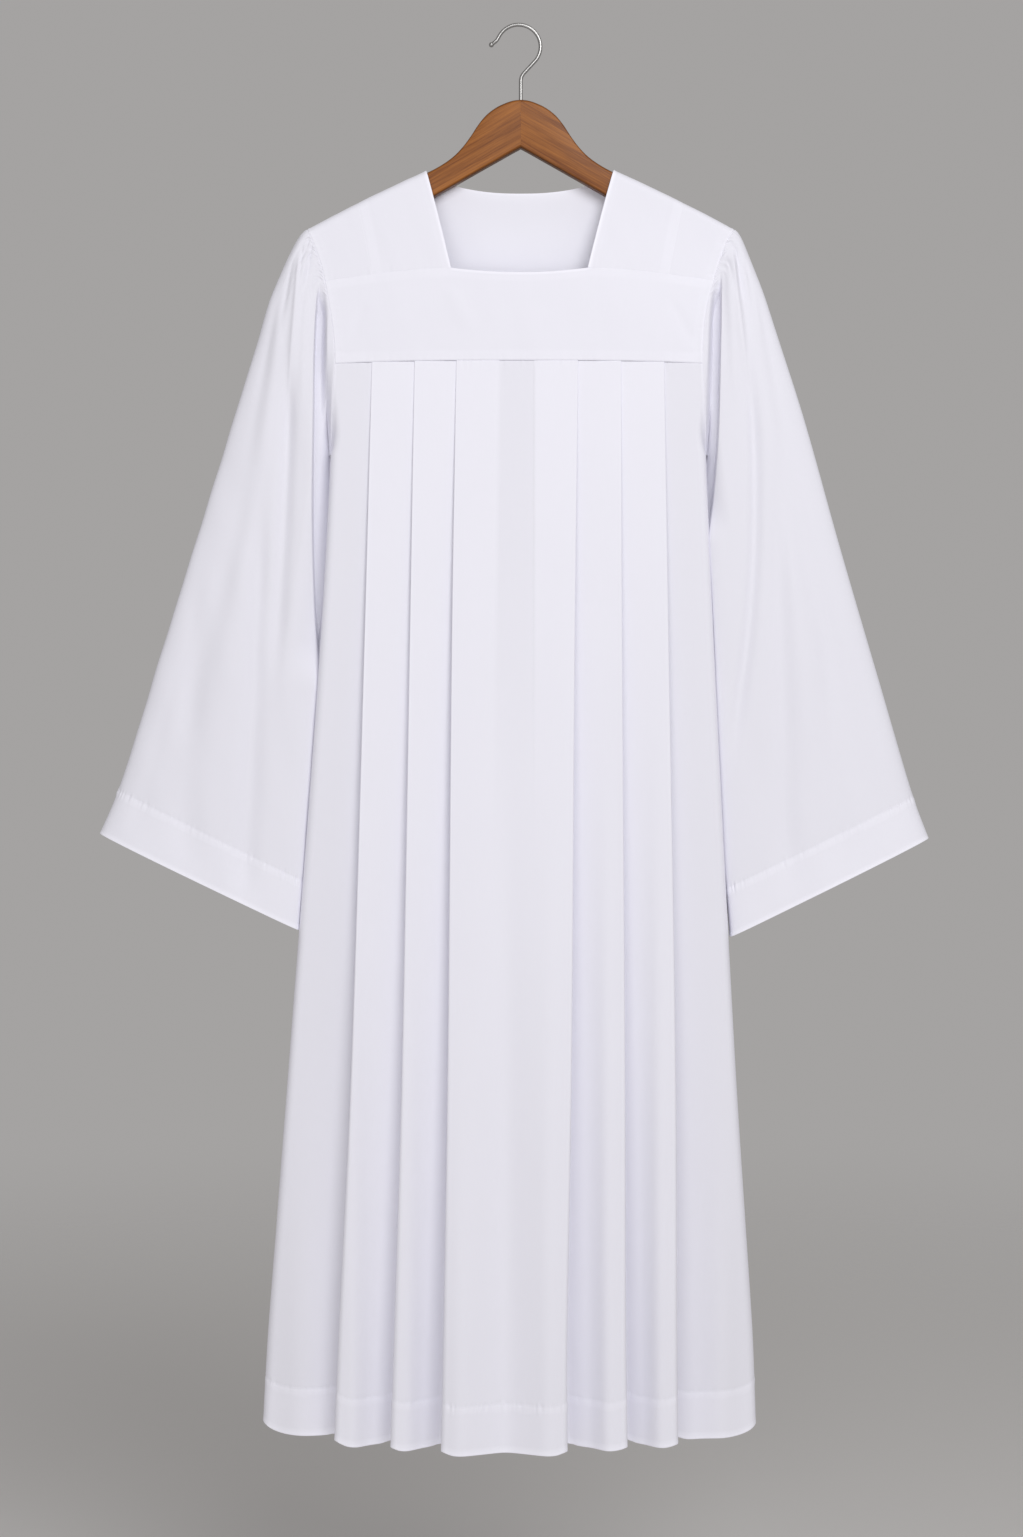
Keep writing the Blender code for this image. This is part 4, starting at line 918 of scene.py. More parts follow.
def edge_spaced(count, length):
    """Places from 0 to 1, closely spaced beside both ends of a length."""
    near = np.array(EDGE_STEPS) / length
    middle = np.linspace(near[-1], 1.0 - near[-1], odd_count(count) + 2)[1:-1]
    return np.concatenate([near, middle, 1.0 - near[::-1]])


def seam_roll(distance, depth):
    """How far the cloth turns in at a distance from a seam."""
    return -depth * np.clip(1.0 - distance / SEAM_ROLL_REACH, 0.0, 1.0) ** 2


def armhole_roll(distance):
    """Roll of the cloth into an armhole seam, behind the low ridge of its allowance."""
    ridge = ARMHOLE_RIDGE * bell(distance - ARMHOLE_RIDGE_PLACE, ARMHOLE_RIDGE_WIDTH)
    return seam_roll(distance, ARMHOLE_SEAM_DEPTH) + ridge


def allowance(distance, width=ALLOWANCE):
    """1 over a doubled band beside an edge, falling to 0 past its width."""
    return 1.0 - smooth((distance - width) / ALLOWANCE_EDGE)


def armhole_tint_and_highlight(distance):
    """Tint beside an armhole: its allowance, and a painted highlight along the rim where the cloth turns in.
    """
    rim = ARMHOLE_HIGHLIGHT * bell(distance - ARMHOLE_HIGHLIGHT_PLACE, ARMHOLE_HIGHLIGHT_WIDTH)
    return ARMHOLE_TINT * allowance(distance) + rim


def puckers(place, distance, seed, height=PUCKER_HEIGHT, wave=PUCKER_WAVE):
    """Small uneven ripples across a stitched line."""
    uneven = mix(1.0, wander(place, wave * PUCKER_UNEVEN_WAVES, seed + 1), PUCKER_UNEVENNESS)
    return height * uneven * wander(place, wave, seed) * bell(distance, PUCKER_REACH)


def hemmed_wall(distance, reach, share=1.0):
    """Wall of the cloth beside a free edge: thicker over a reach, and rounded off at the edge itself.

    The share is 1 along a free edge, and 0 where the edge is sewn.
    """
    wall = cloth_settings().wall / MM + HEM_EXTRA * bell(distance, reach) * share
    t = np.clip(distance / EDGE_ROUNDING[-1], 0.0, 1.0)
    taper = np.maximum(np.sqrt(1.0 - (1.0 - t) ** 2), LEAST_TAPER)
    return wall * mix(1.0, taper, share)


def hem_finish(place, from_stitch, from_edge, seed):
    """Tint and lift of a hem or cuff: two layers of cloth, its turned-under edge, puckers and a painted
    highlight along the edge.
    """
    in_band = ramp(-from_stitch, -HEM_TOP_SOFTNESS, HEM_TOP_SOFTNESS)
    turn = HEM_TURN_UNDER + TURN_STRAY * wander(place, TURN_STRAY_WAVE, seed + TURN_SEED)
    turned_under = in_band * smooth((from_stitch + turn) / TURN_SOFTNESS)
    tint = HEM_TINT * in_band + (TURN_TINT - HEM_TINT) * turned_under
    # Painted highlight along the edge itself
    tint = np.maximum(tint, allowance(from_edge, HEM_HIGHLIGHT_WIDTH))
    lift = HEM_RAISE * in_band + TURN_RAISE * turned_under
    lift -= STITCH_DENT * bell(from_stitch, STITCH_DENT_WIDTH)
    narrowing = np.where(from_stitch > 0, HEM_PUCKER_NARROWING[1], HEM_PUCKER_NARROWING[-1])
    lift += puckers(place, from_stitch * narrowing, seed, HEM_PUCKER, HEM_PUCKER_WAVE)
    return tint, lift


# Yoke and shoulders


def ridge_z(reach):
    """Height of the shoulder ridge at a distance from the middle, arched over the open neck."""
    rise = RIDGE_SLOPE_AT_NECK * NECK_POINT_REACH / 2
    arch = NECK_POINT_Z + rise * (1.0 - (reach / NECK_POINT_REACH) ** 2)
    span = SHOULDER_POINT_REACH - NECK_POINT_REACH
    t = (reach - NECK_POINT_REACH) / span
    bend = (NECK_POINT_Z - SHOULDER_POINT_Z) - RIDGE_SLOPE_AT_NECK * span
    slope = NECK_POINT_Z - RIDGE_SLOPE_AT_NECK * span * t - bend * t * t
    return np.where(reach < NECK_POINT_REACH, arch, slope)


def depth_at_drop(drop):
    """Distance of the cloth in front of or behind the middle plane, at a drop below the ridge."""
    return RIDGE_RADIUS + RIDGE_SPREAD * smooth((drop - RIDGE_RADIUS) / RIDGE_SPREAD_DROP)


def ridge_depth(drop):
    """Distance of the cloth from the middle plane, round the ridge and below it."""
    inside = np.clip(drop / RIDGE_RADIUS, 0.0, 1.0)
    return np.where(drop < RIDGE_RADIUS, RIDGE_RADIUS * np.sqrt(1.0 - (1.0 - inside) ** 2),
                    depth_at_drop(drop))


def cross_seam_z(reach):
    """Seam between the shoulder pieces and the front yoke."""
    beyond = np.maximum(reach - NECK_BOTTOM_REACH, 0.0) / (ARM_REACH_AT_CROSS_SEAM - NECK_BOTTOM_REACH)
    return NECK_BOTTOM_Z - CROSS_SEAM_FALL * beyond**CROSS_SEAM_POWER


def yoke_end_z(reach):
    """Seam between the yoke and the pleated skirt, front or back."""
    return YOKE_END_Z - YOKE_END_FALL * (reach / ARM_REACH_AT_YOKE_END) ** YOKE_END_POWER


def armhole_reach(side, z):
    """Armhole's distance from the middle at a height."""
    heights = [-row.z for row in ARMHOLE]
    return along_table(heights, [row.left if side < 0 else row.right for row in ARMHOLE], -z)


def reach_where(side, height_at):
    """Armhole's distance from the middle where its height is what a function of the distance gives."""
    reach = ARM_REACH_AT_CROSS_SEAM
    for _ in range(REACH_ROUNDS):
        reach = armhole_reach(side, height_at(reach))
    return reach


def front_neck_z(reach, side):
    """Lower edge of the square front neck, and on outwards the cross seam."""
    corner = np.where(side < 0, NECK_BOTTOM_REACHES[-1], NECK_BOTTOM_REACHES[1])
    sagging = NECK_BOTTOM_Z - NECK_BOTTOM_SAG * (1.0 - (reach / corner) ** 2)
    return np.where(reach < corner, sagging, cross_seam_z(reach)) - SEAM_GAP / 2


def back_neck_z(reach, side):
    """Top edge of the back yoke: the curved neck, and outwards the seam behind the shoulder."""
    neck = BACK_NECK_Z + BACK_NECK_RISE * (reach / BACK_NECK_REACH) ** BACK_NECK_POWER
    return np.where(reach < BACK_NECK_REACH, neck, ridge_z(reach) - BACK_SEAM_DROP) - SEAM_GAP


# Line of a shoulder piece: a function of the side, the face and the share of the way down from the ridge
# to the seam, which gives the distance from the middle


def straight_line(top, front, back):
    """Line of a shoulder piece that runs straight down from the ridge on each face."""
    return lambda side, face, share: mix(top, front if face < 0 else back, share)


def armhole_edge(side, face, share):
    """Armhole edge of a shoulder piece."""
    return reach_where(side, lambda reach: ridge_z(reach) - share * seam_drop(reach, face))


def seam_drop(reach, face):
    """Drop from the ridge to the seam at the lower edge of a shoulder piece, at the front or back."""
    return ridge_z(reach) - cross_seam_z(reach) - SEAM_GAP / 2 if face < 0 else BACK_SEAM_DROP


def shoulder_steps():
    """Steps over the ridge from the front seam to the back one, each a face and a share of the drop.

    The ridge is no edge, so the close steps beside it are left out.
    """
    before_ridge = edge_spaced(SHOULDER_FRONT_STEPS, MEAN_FRONT_DROP)[:-SHOULDER_RIDGE_STEPS]
    steps = [(-1, mix(1.0, RIDGE_RADIUS / MEAN_FRONT_DROP, t)) for t in before_ridge]
    for step in range(1, 2 * SHOULDER_ARC_STEPS):
        angle = math.radians(mix(-90.0, 90.0, step / (2 * SHOULDER_ARC_STEPS)))
        drop = RIDGE_RADIUS * (1.0 - math.cos(angle))
        steps.append((-1, drop / MEAN_FRONT_DROP) if angle < 0 else (1, drop / BACK_SEAM_DROP))
    return steps + [(1, mix(RIDGE_RADIUS / BACK_SEAM_DROP, 1.0, share)) for share in SHOULDER_BACK_SHARES]


def shoulder_column(side, near, far, across):
    """Line of a shoulder piece over the ridge, from its front seam to its back seam."""
    points = []
    for face, share in shoulder_steps():
        reach = mix(near(side, face, share), far(side, face, share), across)
        drop = share * seam_drop(reach, face)
        points.append((CENTRE_X + side * reach, face * ridge_depth(drop), ridge_z(reach) - drop))
    return np.array(points, float)


def shoulder_piece(name, side, near, far, width, count, near_is_neck):
    """Shoulder piece between two lines."""
    places = edge_spaced(count, width)
    grid = np.stack([shoulder_column(side, near, far, across) for across in places], axis=1)
    from_front, from_back, from_near, from_far = edge_distances(grid)
    x, z = grid[..., 0], grid[..., 2]
    if near_is_neck:
        layers_and_painted_light = SHOULDER_NECK_BAND * allowance(from_near, NECK_BAND)
        # Painted highlight along the rolled neck edge
        layers_and_painted_light += SHOULDER_NECK_HIGHLIGHT * allowance(from_near, NECK_HIGHLIGHT_WIDTH)
        layers_and_painted_light = np.maximum(layers_and_painted_light, SEAM_TINT * allowance(from_far))
        lift = seam_roll(from_far, FLAT_SEAM_DEPTH)
    else:
        layers_and_painted_light = armhole_tint_and_highlight(from_far)
        lift = seam_roll(from_near, FLAT_SEAM_DEPTH) + armhole_roll(from_far)
        lift += puckers(from_front, from_far, SHOULDER_ARM_PUCKERS[side], SHOULDER_ARM_PUCKER)
    lift += ALLOWANCE_RAISE * layers_and_painted_light + swaying(SHOULDER_SWAY, side, x, z)
    for face, distance in ((-1, from_front), (1, from_back)):
        lift += seam_roll(distance, FLAT_SEAM_DEPTH) + puckers(x, distance, TOP_SEAM_PUCKERS[face])
    normals = facing(grid_normals(grid), off_middle(grid))
    wall = hemmed_wall(from_near, NECK_HEM_REACH, float(near_is_neck))
    layers_and_painted_light = mix(SHOULDER_LAYERS, 1.0, layers_and_painted_light)
    return cloth_shell(name, grid + normals * lift[..., None], wall, layers_and_painted_light, normals)


def shoulders():
    """The four shoulder pieces."""
    made = []
    for side, word in WORDS.items():
        neck = straight_line(NECK_POINT_REACHES[side], NECK_BOTTOM_REACHES[side], BACK_NECK_REACH)
        inner_far = straight_line(PANEL_SEAM_TOP_REACH - SEAM_GAP, PANEL_SEAM_LOW_REACH - SEAM_GAP,
                                  PANEL_SEAM_TOP_REACH - SEAM_GAP)
        outer_near = straight_line(PANEL_SEAM_TOP_REACH, PANEL_SEAM_LOW_REACH, PANEL_SEAM_TOP_REACH)
        width = PANEL_SEAM_LOW_REACH - NECK_BOTTOM_REACH
        made.append(shoulder_piece("shoulder_inner_" + word + "_cloth", side, neck, inner_far, width,
                                   INNER_SHOULDER_COLUMNS, True))
        width = ARM_REACH_AT_CROSS_SEAM - PANEL_SEAM_LOW_REACH
        made.append(shoulder_piece("shoulder_outer_" + word + "_cloth", side, outer_near, armhole_edge,
                                   width, OUTER_SHOULDER_COLUMNS, False))
    return made


def yoke_grid(places, rows, face, top_at):
    """Grid of a yoke's middle points from places across and rows down."""
    across = places[None, :] * 2.0 - 1.0
    row = rows[:, None]
    side = np.sign(across)

    def height_at(reach, side):
        return mix(top_at(reach, side), yoke_end_z(reach) + SEAM_GAP / 2, row)

    reach = np.zeros((len(rows), len(places)))
    for half in WORDS:
        edge = reach_where(half, lambda reach, half=half: height_at(reach, half))
        reach = np.where(side == half, np.abs(across) * edge, reach)
    z = height_at(reach, side)
    return np.stack([CENTRE_X + side * reach, face * depth_at_drop(ridge_z(reach) - z), z], axis=-1)


def neck_places(count, corners, length):
    """Places across a yoke, with one at each end of the neck."""
    spread = edge_spaced(count, length)
    for corner in corners:
        spread[np.argmin(np.abs(spread - corner))] = corner
    return spread


def yoke_piece(name, grid, corner, face):
    """Yoke from its grid, with a rolled neck edge between the corners of the neck, and seams elsewhere."""
    x, z = grid[..., 0], grid[..., 2]
    in_neck = 1.0 - smooth(np.abs(x - CENTRE_X) - corner + 0.5)
    from_top, from_end, from_left, from_right = edge_distances(grid)
    from_arm = np.minimum(from_left, from_right)
    uneven = SEAM_TINT_MEAN + SEAM_TINT_RANGE * wander(x, SEAM_TINT_WAVE, YOKE_TINTS[face])
    seams = np.maximum(allowance(from_top, NECK_BAND), YOKE_END_SHARE * allowance(from_end))
    # Painted highlight along the rolled neck edge
    rim = YOKE_NECK_HIGHLIGHT * in_neck * allowance(from_top, NECK_HIGHLIGHT_WIDTH)
    layers_and_painted_light = np.maximum.reduce([SEAM_TINT * uneven * seams, armhole_tint_and_highlight(from_arm), rim])
    lift = ALLOWANCE_RAISE * layers_and_painted_light + seam_roll(from_end, YOKE_SEAM_DEPTH) + armhole_roll(from_arm)
    top_seam = seam_roll(from_top, FLAT_SEAM_DEPTH) + puckers(x, from_top, TOP_SEAM_PUCKERS[face])
    lift += top_seam * (1.0 - in_neck)
    lift += puckers(x, from_end, YOKE_END_PUCKERS[face], YOKE_PUCKER)
    lift += puckers(z, from_arm, YOKE_ARM_PUCKERS[face]) + crease_lift(YOKE_CREASES[face], x, z)
    lift += swaying(YOKE_SWAY, face, x, z)
    # The back yoke grows lighter downwards: painted light inside the neck, on top of its layer tint
    layers = mix(*YOKE_LAYERS_AND_PAINTED_LIGHT[face], smooth((YOKE_PAINTED_LIGHT_TOP_Z - z) / YOKE_PAINTED_LIGHT_SPAN))
    normals = facing(grid_normals(grid), off_middle(grid))
    wall = hemmed_wall(from_top, NECK_HEM_REACH, in_neck)
    return cloth_shell(name, grid + normals * lift[..., None], wall, mix(layers, 1.0, layers_and_painted_light), normals)


def front_yoke():
    """Band between the neck and the pleats."""
    widths = {side: float(reach_where(side, cross_seam_z)) for side in WORDS}
    corners = [0.5 + side * NECK_BOTTOM_REACHES[side] / widths[side] / 2 for side in WORDS]
    places = neck_places(YOKE_COLUMNS[-1], corners, 2 * ARM_REACH_AT_YOKE_END)
    rows = edge_spaced(YOKE_ROWS[-1], cross_seam_z(ARM_REACH_AT_CROSS_SEAM) - YOKE_END_Z)
    grid = yoke_grid(places, rows, -1, front_neck_z)
    corner = np.where(grid[..., 0] < CENTRE_X, NECK_BOTTOM_REACHES[-1], NECK_BOTTOM_REACHES[1])
    return yoke_piece("front_yoke_cloth", grid, corner, -1)


def back_yoke():
    """Back of the garment from the neck to the pleats, in one piece."""
    width = float(reach_where(-1, lambda reach: back_neck_z(reach, -1)))
    corners = [0.5 + side * BACK_NECK_REACH / width / 2 for side in WORDS]
    places = neck_places(YOKE_COLUMNS[1], corners, 2 * width)
    rows = edge_spaced(YOKE_ROWS[1], SHOULDER_POINT_Z - BACK_SEAM_DROP - YOKE_END_Z)
    return yoke_piece("back_yoke_cloth", yoke_grid(places, rows, 1, back_neck_z), BACK_NECK_REACH, 1)


# Skirts

# Bend: a round that the cloth's line wraps, and the way the line turns there (1 to its left)
Bend = namedtuple("Bend", "x y radius turn")


def skirt_fall(z):
    """Share of the way down a skirt at a height."""
    return (YOKE_END_Z - z) / (YOKE_END_Z - HEM_Z)


def edge_x(edge, fall):
    """X of a side edge or a fold's edge at a share of the way down."""
    return along_table(SKIRT_LEVELS, edge[:len(SKIRT_LEVELS)], fall)


def run_heading(first, second):
    """Heading of the straight run that leaves one bend and meets the next."""
    dx = second.x - first.x
    dy = second.y - first.y
    shift = second.turn * second.radius - first.turn * first.radius
    return math.atan2(dy, dx) - math.asin(shift / math.hypot(dx, dy))


def bend_point(bend, heading):
    """Point on a bend where the line runs along a heading."""
    reach = bend.turn * bend.radius
    return np.array((bend.x + math.sin(heading) * reach, bend.y - math.cos(heading) * reach))


def wrapped_line(bends, end_heading, end_run, run_steps):
    """Line of cloth that wraps the bends in turn, seen from above, with a straight run at each end."""
    headings = [-end_heading]
    headings += [run_heading(first, second) for first, second in zip(bends, bends[1:])]
    headings.append(end_heading)
    ahead = np.array((math.cos(headings[0]), math.sin(headings[0])))
    line = [bend_point(bends[0], headings[0]) - ahead * end_run]
    for index, bend in enumerate(bends):
        turn = (headings[index + 1] - headings[index]) * bend.turn % (2 * math.pi)
        if turn > LARGEST_TURN:
            turn = NO_TURN
        for step in range(ARC_STEPS + 1):
            line.append(bend_point(bend, headings[index] + bend.turn * turn * step / ARC_STEPS))
        if index < len(bends) - 1:
            before = line[-1]
            after = bend_point(bends[index + 1], headings[index + 1])
            for step in range(1, run_steps[index]):
                line.append(mix(before, after, step / run_steps[index]))
    ahead = np.array((math.cos(end_heading), math.sin(end_heading)))
    line.append(line[-1] + ahead * end_run)
    return np.array(line)


def side_start(z, seam_y):
    """Turn of the cloth at the side, and the straight run from there to the side seam."""
    progress = min((YOKE_END_Z - z) / (YOKE_END_Z - UNDERARM_Z), 1.0) ** 2
    level = mix(SIDE_LEVEL_TOP, SIDE_LEVEL_HEM, max(skirt_fall(z), 0.0))
    run = mix(EDGE_RUN, max(level - SIDE_RADIUS + seam_y, EDGE_RUN), progress)
    return math.radians(90.0) * progress, level, run


def skirt_line(face, z, seam_y):
    """Cloth line of one row of a skirt, from its left edge to its right edge, seen from above."""
    fall = skirt_fall(z)
    depth_share = max(fall, 0.0) ** DEPTH_POWER
    edge_radius = mix(FOLD_RADIUS_YOKE, EDGE_RADIUS_HEM, max(fall, 0.0) ** EDGE_RADIUS_POWER)
    tuck_width = mix(TUCK_WIDTH_YOKE, TUCK_WIDTH_HEM, depth_share)
    turn, level, run = side_start(z, seam_y)
    inset = SIDE_RADIUS * math.sin(turn) + run * math.cos(turn)
    ends = {side: Bend(float(edge_x(edge, fall)) - side * inset, SIDE_RADIUS - level, SIDE_RADIUS, 1)
            for side, edge in SIDE_EDGES.items()}
    bends = [ends[-1]]
    run_steps = [SIDE_PANEL_STEPS]
    for fold in FOLDS[face]:
        x = float(edge_x(fold, fall))
        edge_level = mix(EDGE_LEVEL_YOKE, fold.edge_hem, depth_share)
        tuck_level = mix(TUCK_LEVEL_YOKE, fold.tuck_hem, depth_share)
        round_at_hem = TUCK_ROUND_SHARE * (fold.edge_hem - fold.tuck_hem)
        tuck_radius = mix(FOLD_RADIUS_YOKE, round_at_hem, depth_share)
        edge = Bend(x - fold.side * edge_radius, edge_radius - edge_level, edge_radius, 1)
        tuck = Bend(x - fold.side * (tuck_width - tuck_radius), -tuck_level - tuck_radius, tuck_radius, -1)
        bends += [tuck, edge] if fold.side < 0 else [edge, tuck]
        run_steps += [TUCK_RUN_STEPS, PANEL_STEPS]
    bends.append(ends[1])
    run_steps[2 * sum(fold.side < 0 for fold in FOLDS[face])] = CENTRE_STEPS
    run_steps[-1] = SIDE_PANEL_STEPS
    return wrapped_line(bends, turn, run, run_steps)


def swell_at(swells, x, fall):
    """How far forward the soft swells carry the cloth."""
    total = np.zeros(np.broadcast(x, fall).shape)
    for swell in swells:
        total += swell.forward * ramp(fall, swell.start, swell.full) * bell(x - swell.x, swell.width)
    return total


def band_window(x, fall):
    """1 on the single band down the middle of the front, fading out down the skirt."""
    down = np.clip(fall / BAND_FADE_END, 0.0, 1.0)
    left = smooth((x - mix(*BAND_LEFT, down)) / BAND_LEFT_SOFTNESS + 0.5)
    right = smooth((mix(*BAND_RIGHT, down) - x) / BAND_RIGHT_SOFTNESS + 0.5)
    return left * right * (1.0 - ramp(fall, BAND_FADE_START, BAND_FADE_END))


def pleat_layers(folds, x, fall):
    """Share of extra cloth that lies behind the panels between the outermost fold edges."""
    inside = smooth((x - edge_x(folds[0], fall)) / PLEAT_LAYERS_SOFTNESS + 0.5)
    inside = inside * smooth((edge_x(folds[-1], fall) - x) / PLEAT_LAYERS_SOFTNESS + 0.5)
    return mix(PLEAT_LAYERS_YOKE, PLEAT_LAYERS_HEM, np.clip(fall, 0.0, 1.0)) * inside


def hem_z_at(x, folds):
    """Height of the hem's edge, a little higher at the sides and rounded at its corners."""
    reach = np.abs(x - CENTRE_X)
    side_lift = np.where(x < CENTRE_X, HEM_SIDE_LIFTS[-1], HEM_SIDE_LIFTS[1])
    side_x = np.where(x < CENTRE_X, SIDE_EDGES[-1].x_hem, SIDE_EDGES[1].x_hem)
    from_side = np.maximum(np.abs(side_x - CENTRE_X) - reach, 0.0)
    lift = side_lift * ramp(reach, HEM_SIDE_START, HEM_SIDE_END)
    lift = lift + HEM_CORNER_LIFT * np.exp(-from_side / HEM_CORNER)
    for fold in folds:
        lift = lift + HEM_FOLD_LIFT * bell(x - fold.x_hem, HEM_FOLD_REACH)
    return HEM_Z + lift


def fold_highlights(folds, x, fall):
    """Painted highlights along the outer edges of the folds and of the skirt itself, where the cloth turns,
    stronger on the folds that face left.
    """
    total = np.zeros(np.broadcast(x, fall).shape)
    for side, edge in SIDE_EDGES.items():
        total += SIDE_HIGHLIGHT * bell(x - edge_x(edge, fall) + side * SIDE_HIGHLIGHT_INSET, SIDE_HIGHLIGHT_WIDTH)
    for fold in folds:
        rim = bell(x - edge_x(fold, fall) + fold.side * FOLD_HIGHLIGHT_INSET, FOLD_HIGHLIGHT_WIDTH)
        total = np.maximum(total, FOLD_HIGHLIGHTS[fold.side] * rim)
    return total


def skirt_levels():
    """Heights of a skirt's rows, close together at its seam, its stitch line and its edge."""
    levels = [YOKE_END_Z + step for step in SKIRT_TUCK_ROWS]
    levels += [YOKE_END_Z - step for step in SKIRT_TOP_STEPS]
    for span in SKIRT_SPANS:
        levels += list(np.arange(levels[-1] - span.first_step, span.end, -span.step))
    levels += [HEM_Z + step for step in reversed(EDGE_ROUNDING)]
    return with_odd_count(np.array(levels), SKIRT_EXTRA_ROW)


def skirt(name, face):
    """Pleated skirt from the yoke seam to the hem."""
    folds = FOLDS[face]
    level = skirt_levels()[:, None]
    fall = skirt_fall(level)
    plan = np.stack([skirt_line(face, z, -face * SEAM_Y_HEM * skirt_fall(z) - SEAM_GAP / 2)
                     for z in level[:, 0]])
    x = plan[..., 0]
    y = -face * (plan[..., 1] - swell_at(SWELLS[face], x, fall))
    band_top = HEM_Z + HEM_BAND
    follow = np.clip((HEM_FOLLOW_START_Z - level) / (HEM_FOLLOW_START_Z - band_top), 0.0, 1.0)
    top_share = np.clip((level - TOP_BLEND_END_Z) / (YOKE_END_Z - TOP_BLEND_END_Z), 0.0, 1.0)
    reach = np.minimum(np.abs(x - CENTRE_X), ARM_REACH_AT_YOKE_END)
    z = level + follow * (hem_z_at(x, folds) - HEM_Z)
    z = z + top_share * (yoke_end_z(reach) - SEAM_GAP / 2 - YOKE_END_Z)
    grid = np.stack([x, y, z], axis=-1)
    across = lengths_along(grid[-1:], 1) + 0.0 * level
    from_top = YOKE_END_Z - level + 0.0 * x
    from_stitch = level - band_top + 0.0 * x
    from_hem = level - HEM_Z + 0.0 * x
    single = band_window(x, fall) * BAND_SHARES[face]
    layers = pleat_layers(folds, x, fall) * (1.0 - single)
    hem_tint, lift = hem_finish(across, from_stitch, from_hem, HEM_PUCKERS[face])
    # Layer tints of the pleats and hem, with painted highlights along the fold and side edges
    layers_and_painted_light = np.maximum.reduce([layers, hem_tint, fold_highlights(folds, x, fall)])
    lift += swaying(SKIRT_SWAY, face, across) * smooth(fall * SKIRT_SWAY_RATE)
    lift -= BAND_DEPTH * single
    forward = seam_roll(from_top, YOKE_SEAM_DEPTH) - SKIRT_TUCK_DEPTH * smooth(-from_top / SKIRT_TUCK_UNDER)
    forward += puckers(x, from_top, YOKE_END_PUCKERS[face], YOKE_PUCKER)
    normals = facing(grid_normals(grid), np.array((0.0, face, 0.0)))
    grid = grid + normals * lift[..., None]
    grid[..., 1] += face * forward
    piece = cloth_shell(name, grid, hemmed_wall(from_hem, SKIRT_HEM_REACH), layers_and_painted_light, normals)
    return piece, grid, normals


# Sleeves


def armhole_line(side, face):
    """Points of the armhole from the shoulder point to the underarm, on one face."""
    points = []
    for degrees in ARMHOLE_DEGREES:
        drop = RIDGE_RADIUS * (1.0 - math.cos(math.radians(degrees)))
        reach = reach_where(side, lambda reach, drop=drop: ridge_z(reach) - drop)
        points.append((CENTRE_X + side * reach, face * ridge_depth(drop), ridge_z(reach) - drop))
    arm_end = yoke_end_z(reach_where(side, yoke_end_z))
    for z in np.linspace(points[-1][2], arm_end, ARMHOLE_YOKE_STEPS)[1:]:
        reach = armhole_reach(side, z)
        points.append((CENTRE_X + side * reach, face * depth_at_drop(ridge_z(reach) - z), z))
    for z in np.linspace(arm_end, UNDERARM_Z, ARMHOLE_SIDE_STEPS)[1:]:
        ends = skirt_line(-1, z, -SEAM_GAP / 2)
        end = ends[0] if side < 0 else ends[-1]
        points.append((end[0], -face * end[1], z))
    return np.array(points, float)


def read_line(line, share):
    """Points at shares of a line's length."""
    run = lengths_along(line, 0)
    return np.stack([np.interp(share * run[-1], run, line[:, axis]) for axis in range(3)], axis=-1)


def sleeve_columns():
    """Places across a sleeve's two faces, from outer to inner edge, and the face that each is on.

    The front's columns lie close together beside FOLD_PLACE.
    """
    first, last = OUTSIDE_POWERS
    t = np.linspace(0.0, 1.0, OUTSIDE_COLUMNS + 1)
    outside = FOLD_PLACE * (t**first * (1.0 - t) + t * (1.0 - (1.0 - t) ** last))
    first, last = INSIDE_POWERS
    t = np.linspace(0.0, 1.0, INSIDE_COLUMNS + 1)[1:]
    inside = FOLD_PLACE + (1.0 - FOLD_PLACE) * (1.0 - (1.0 - t**first) ** last)
    back = (1.0 + np.cos(np.linspace(0.0, math.pi, BACK_COLUMNS + 1)[1:-1])) / 2
    front = np.concatenate([outside, inside])
    return np.concatenate([front, back]), np.concatenate([0.0 * front - 1.0, 0.0 * back + 1.0])


def sleeve_rows():
    """Rows along a sleeve, close together at the cap, the cuff's stitch line and its edge."""
    spans = [np.linspace(*span) for span in CAP_SPANS]
    cap = np.concatenate([CAP_EDGE_ROWS, *spans]) / SLEEVE_LENGTH
    body = np.linspace(cap[-1], CUFF_STITCH_ALONG - STITCH_ROWS_SHARE, BODY_ROWS)[1:]
    band = np.linspace(body[-1], CUFF_STITCH_ALONG + STITCH_ROWS_SHARE, STITCH_ROWS)[1:]
    rounding = 1.0 - np.array(EDGE_ROUNDING[::-1]) / SLEEVE_LENGTH
    cuff = np.linspace(band[-1], rounding[0], CUFF_ROWS)[1:-1]
    return with_odd_count(np.concatenate([cap, body, band, cuff, rounding]), SLEEVE_EXTRA_ROW)


def inner_fold_window(inner_fold, z):
    """Where along a sleeve the fold beside the body shows."""
    window = smooth((inner_fold[0].z - z) / INNER_FOLD_TOP_FADE)
    return window * smooth((z - inner_fold[-1].z) / INNER_FOLD_END_FADE)


def inward_of_fold(side, x, z):
    """Distance from the fold line beside the body, inwards."""
    inner_fold = INNER_FOLDS[side]
    return -side * (x - along_table([-row.z for row in inner_fold], [row.x for row in inner_fold], -z))


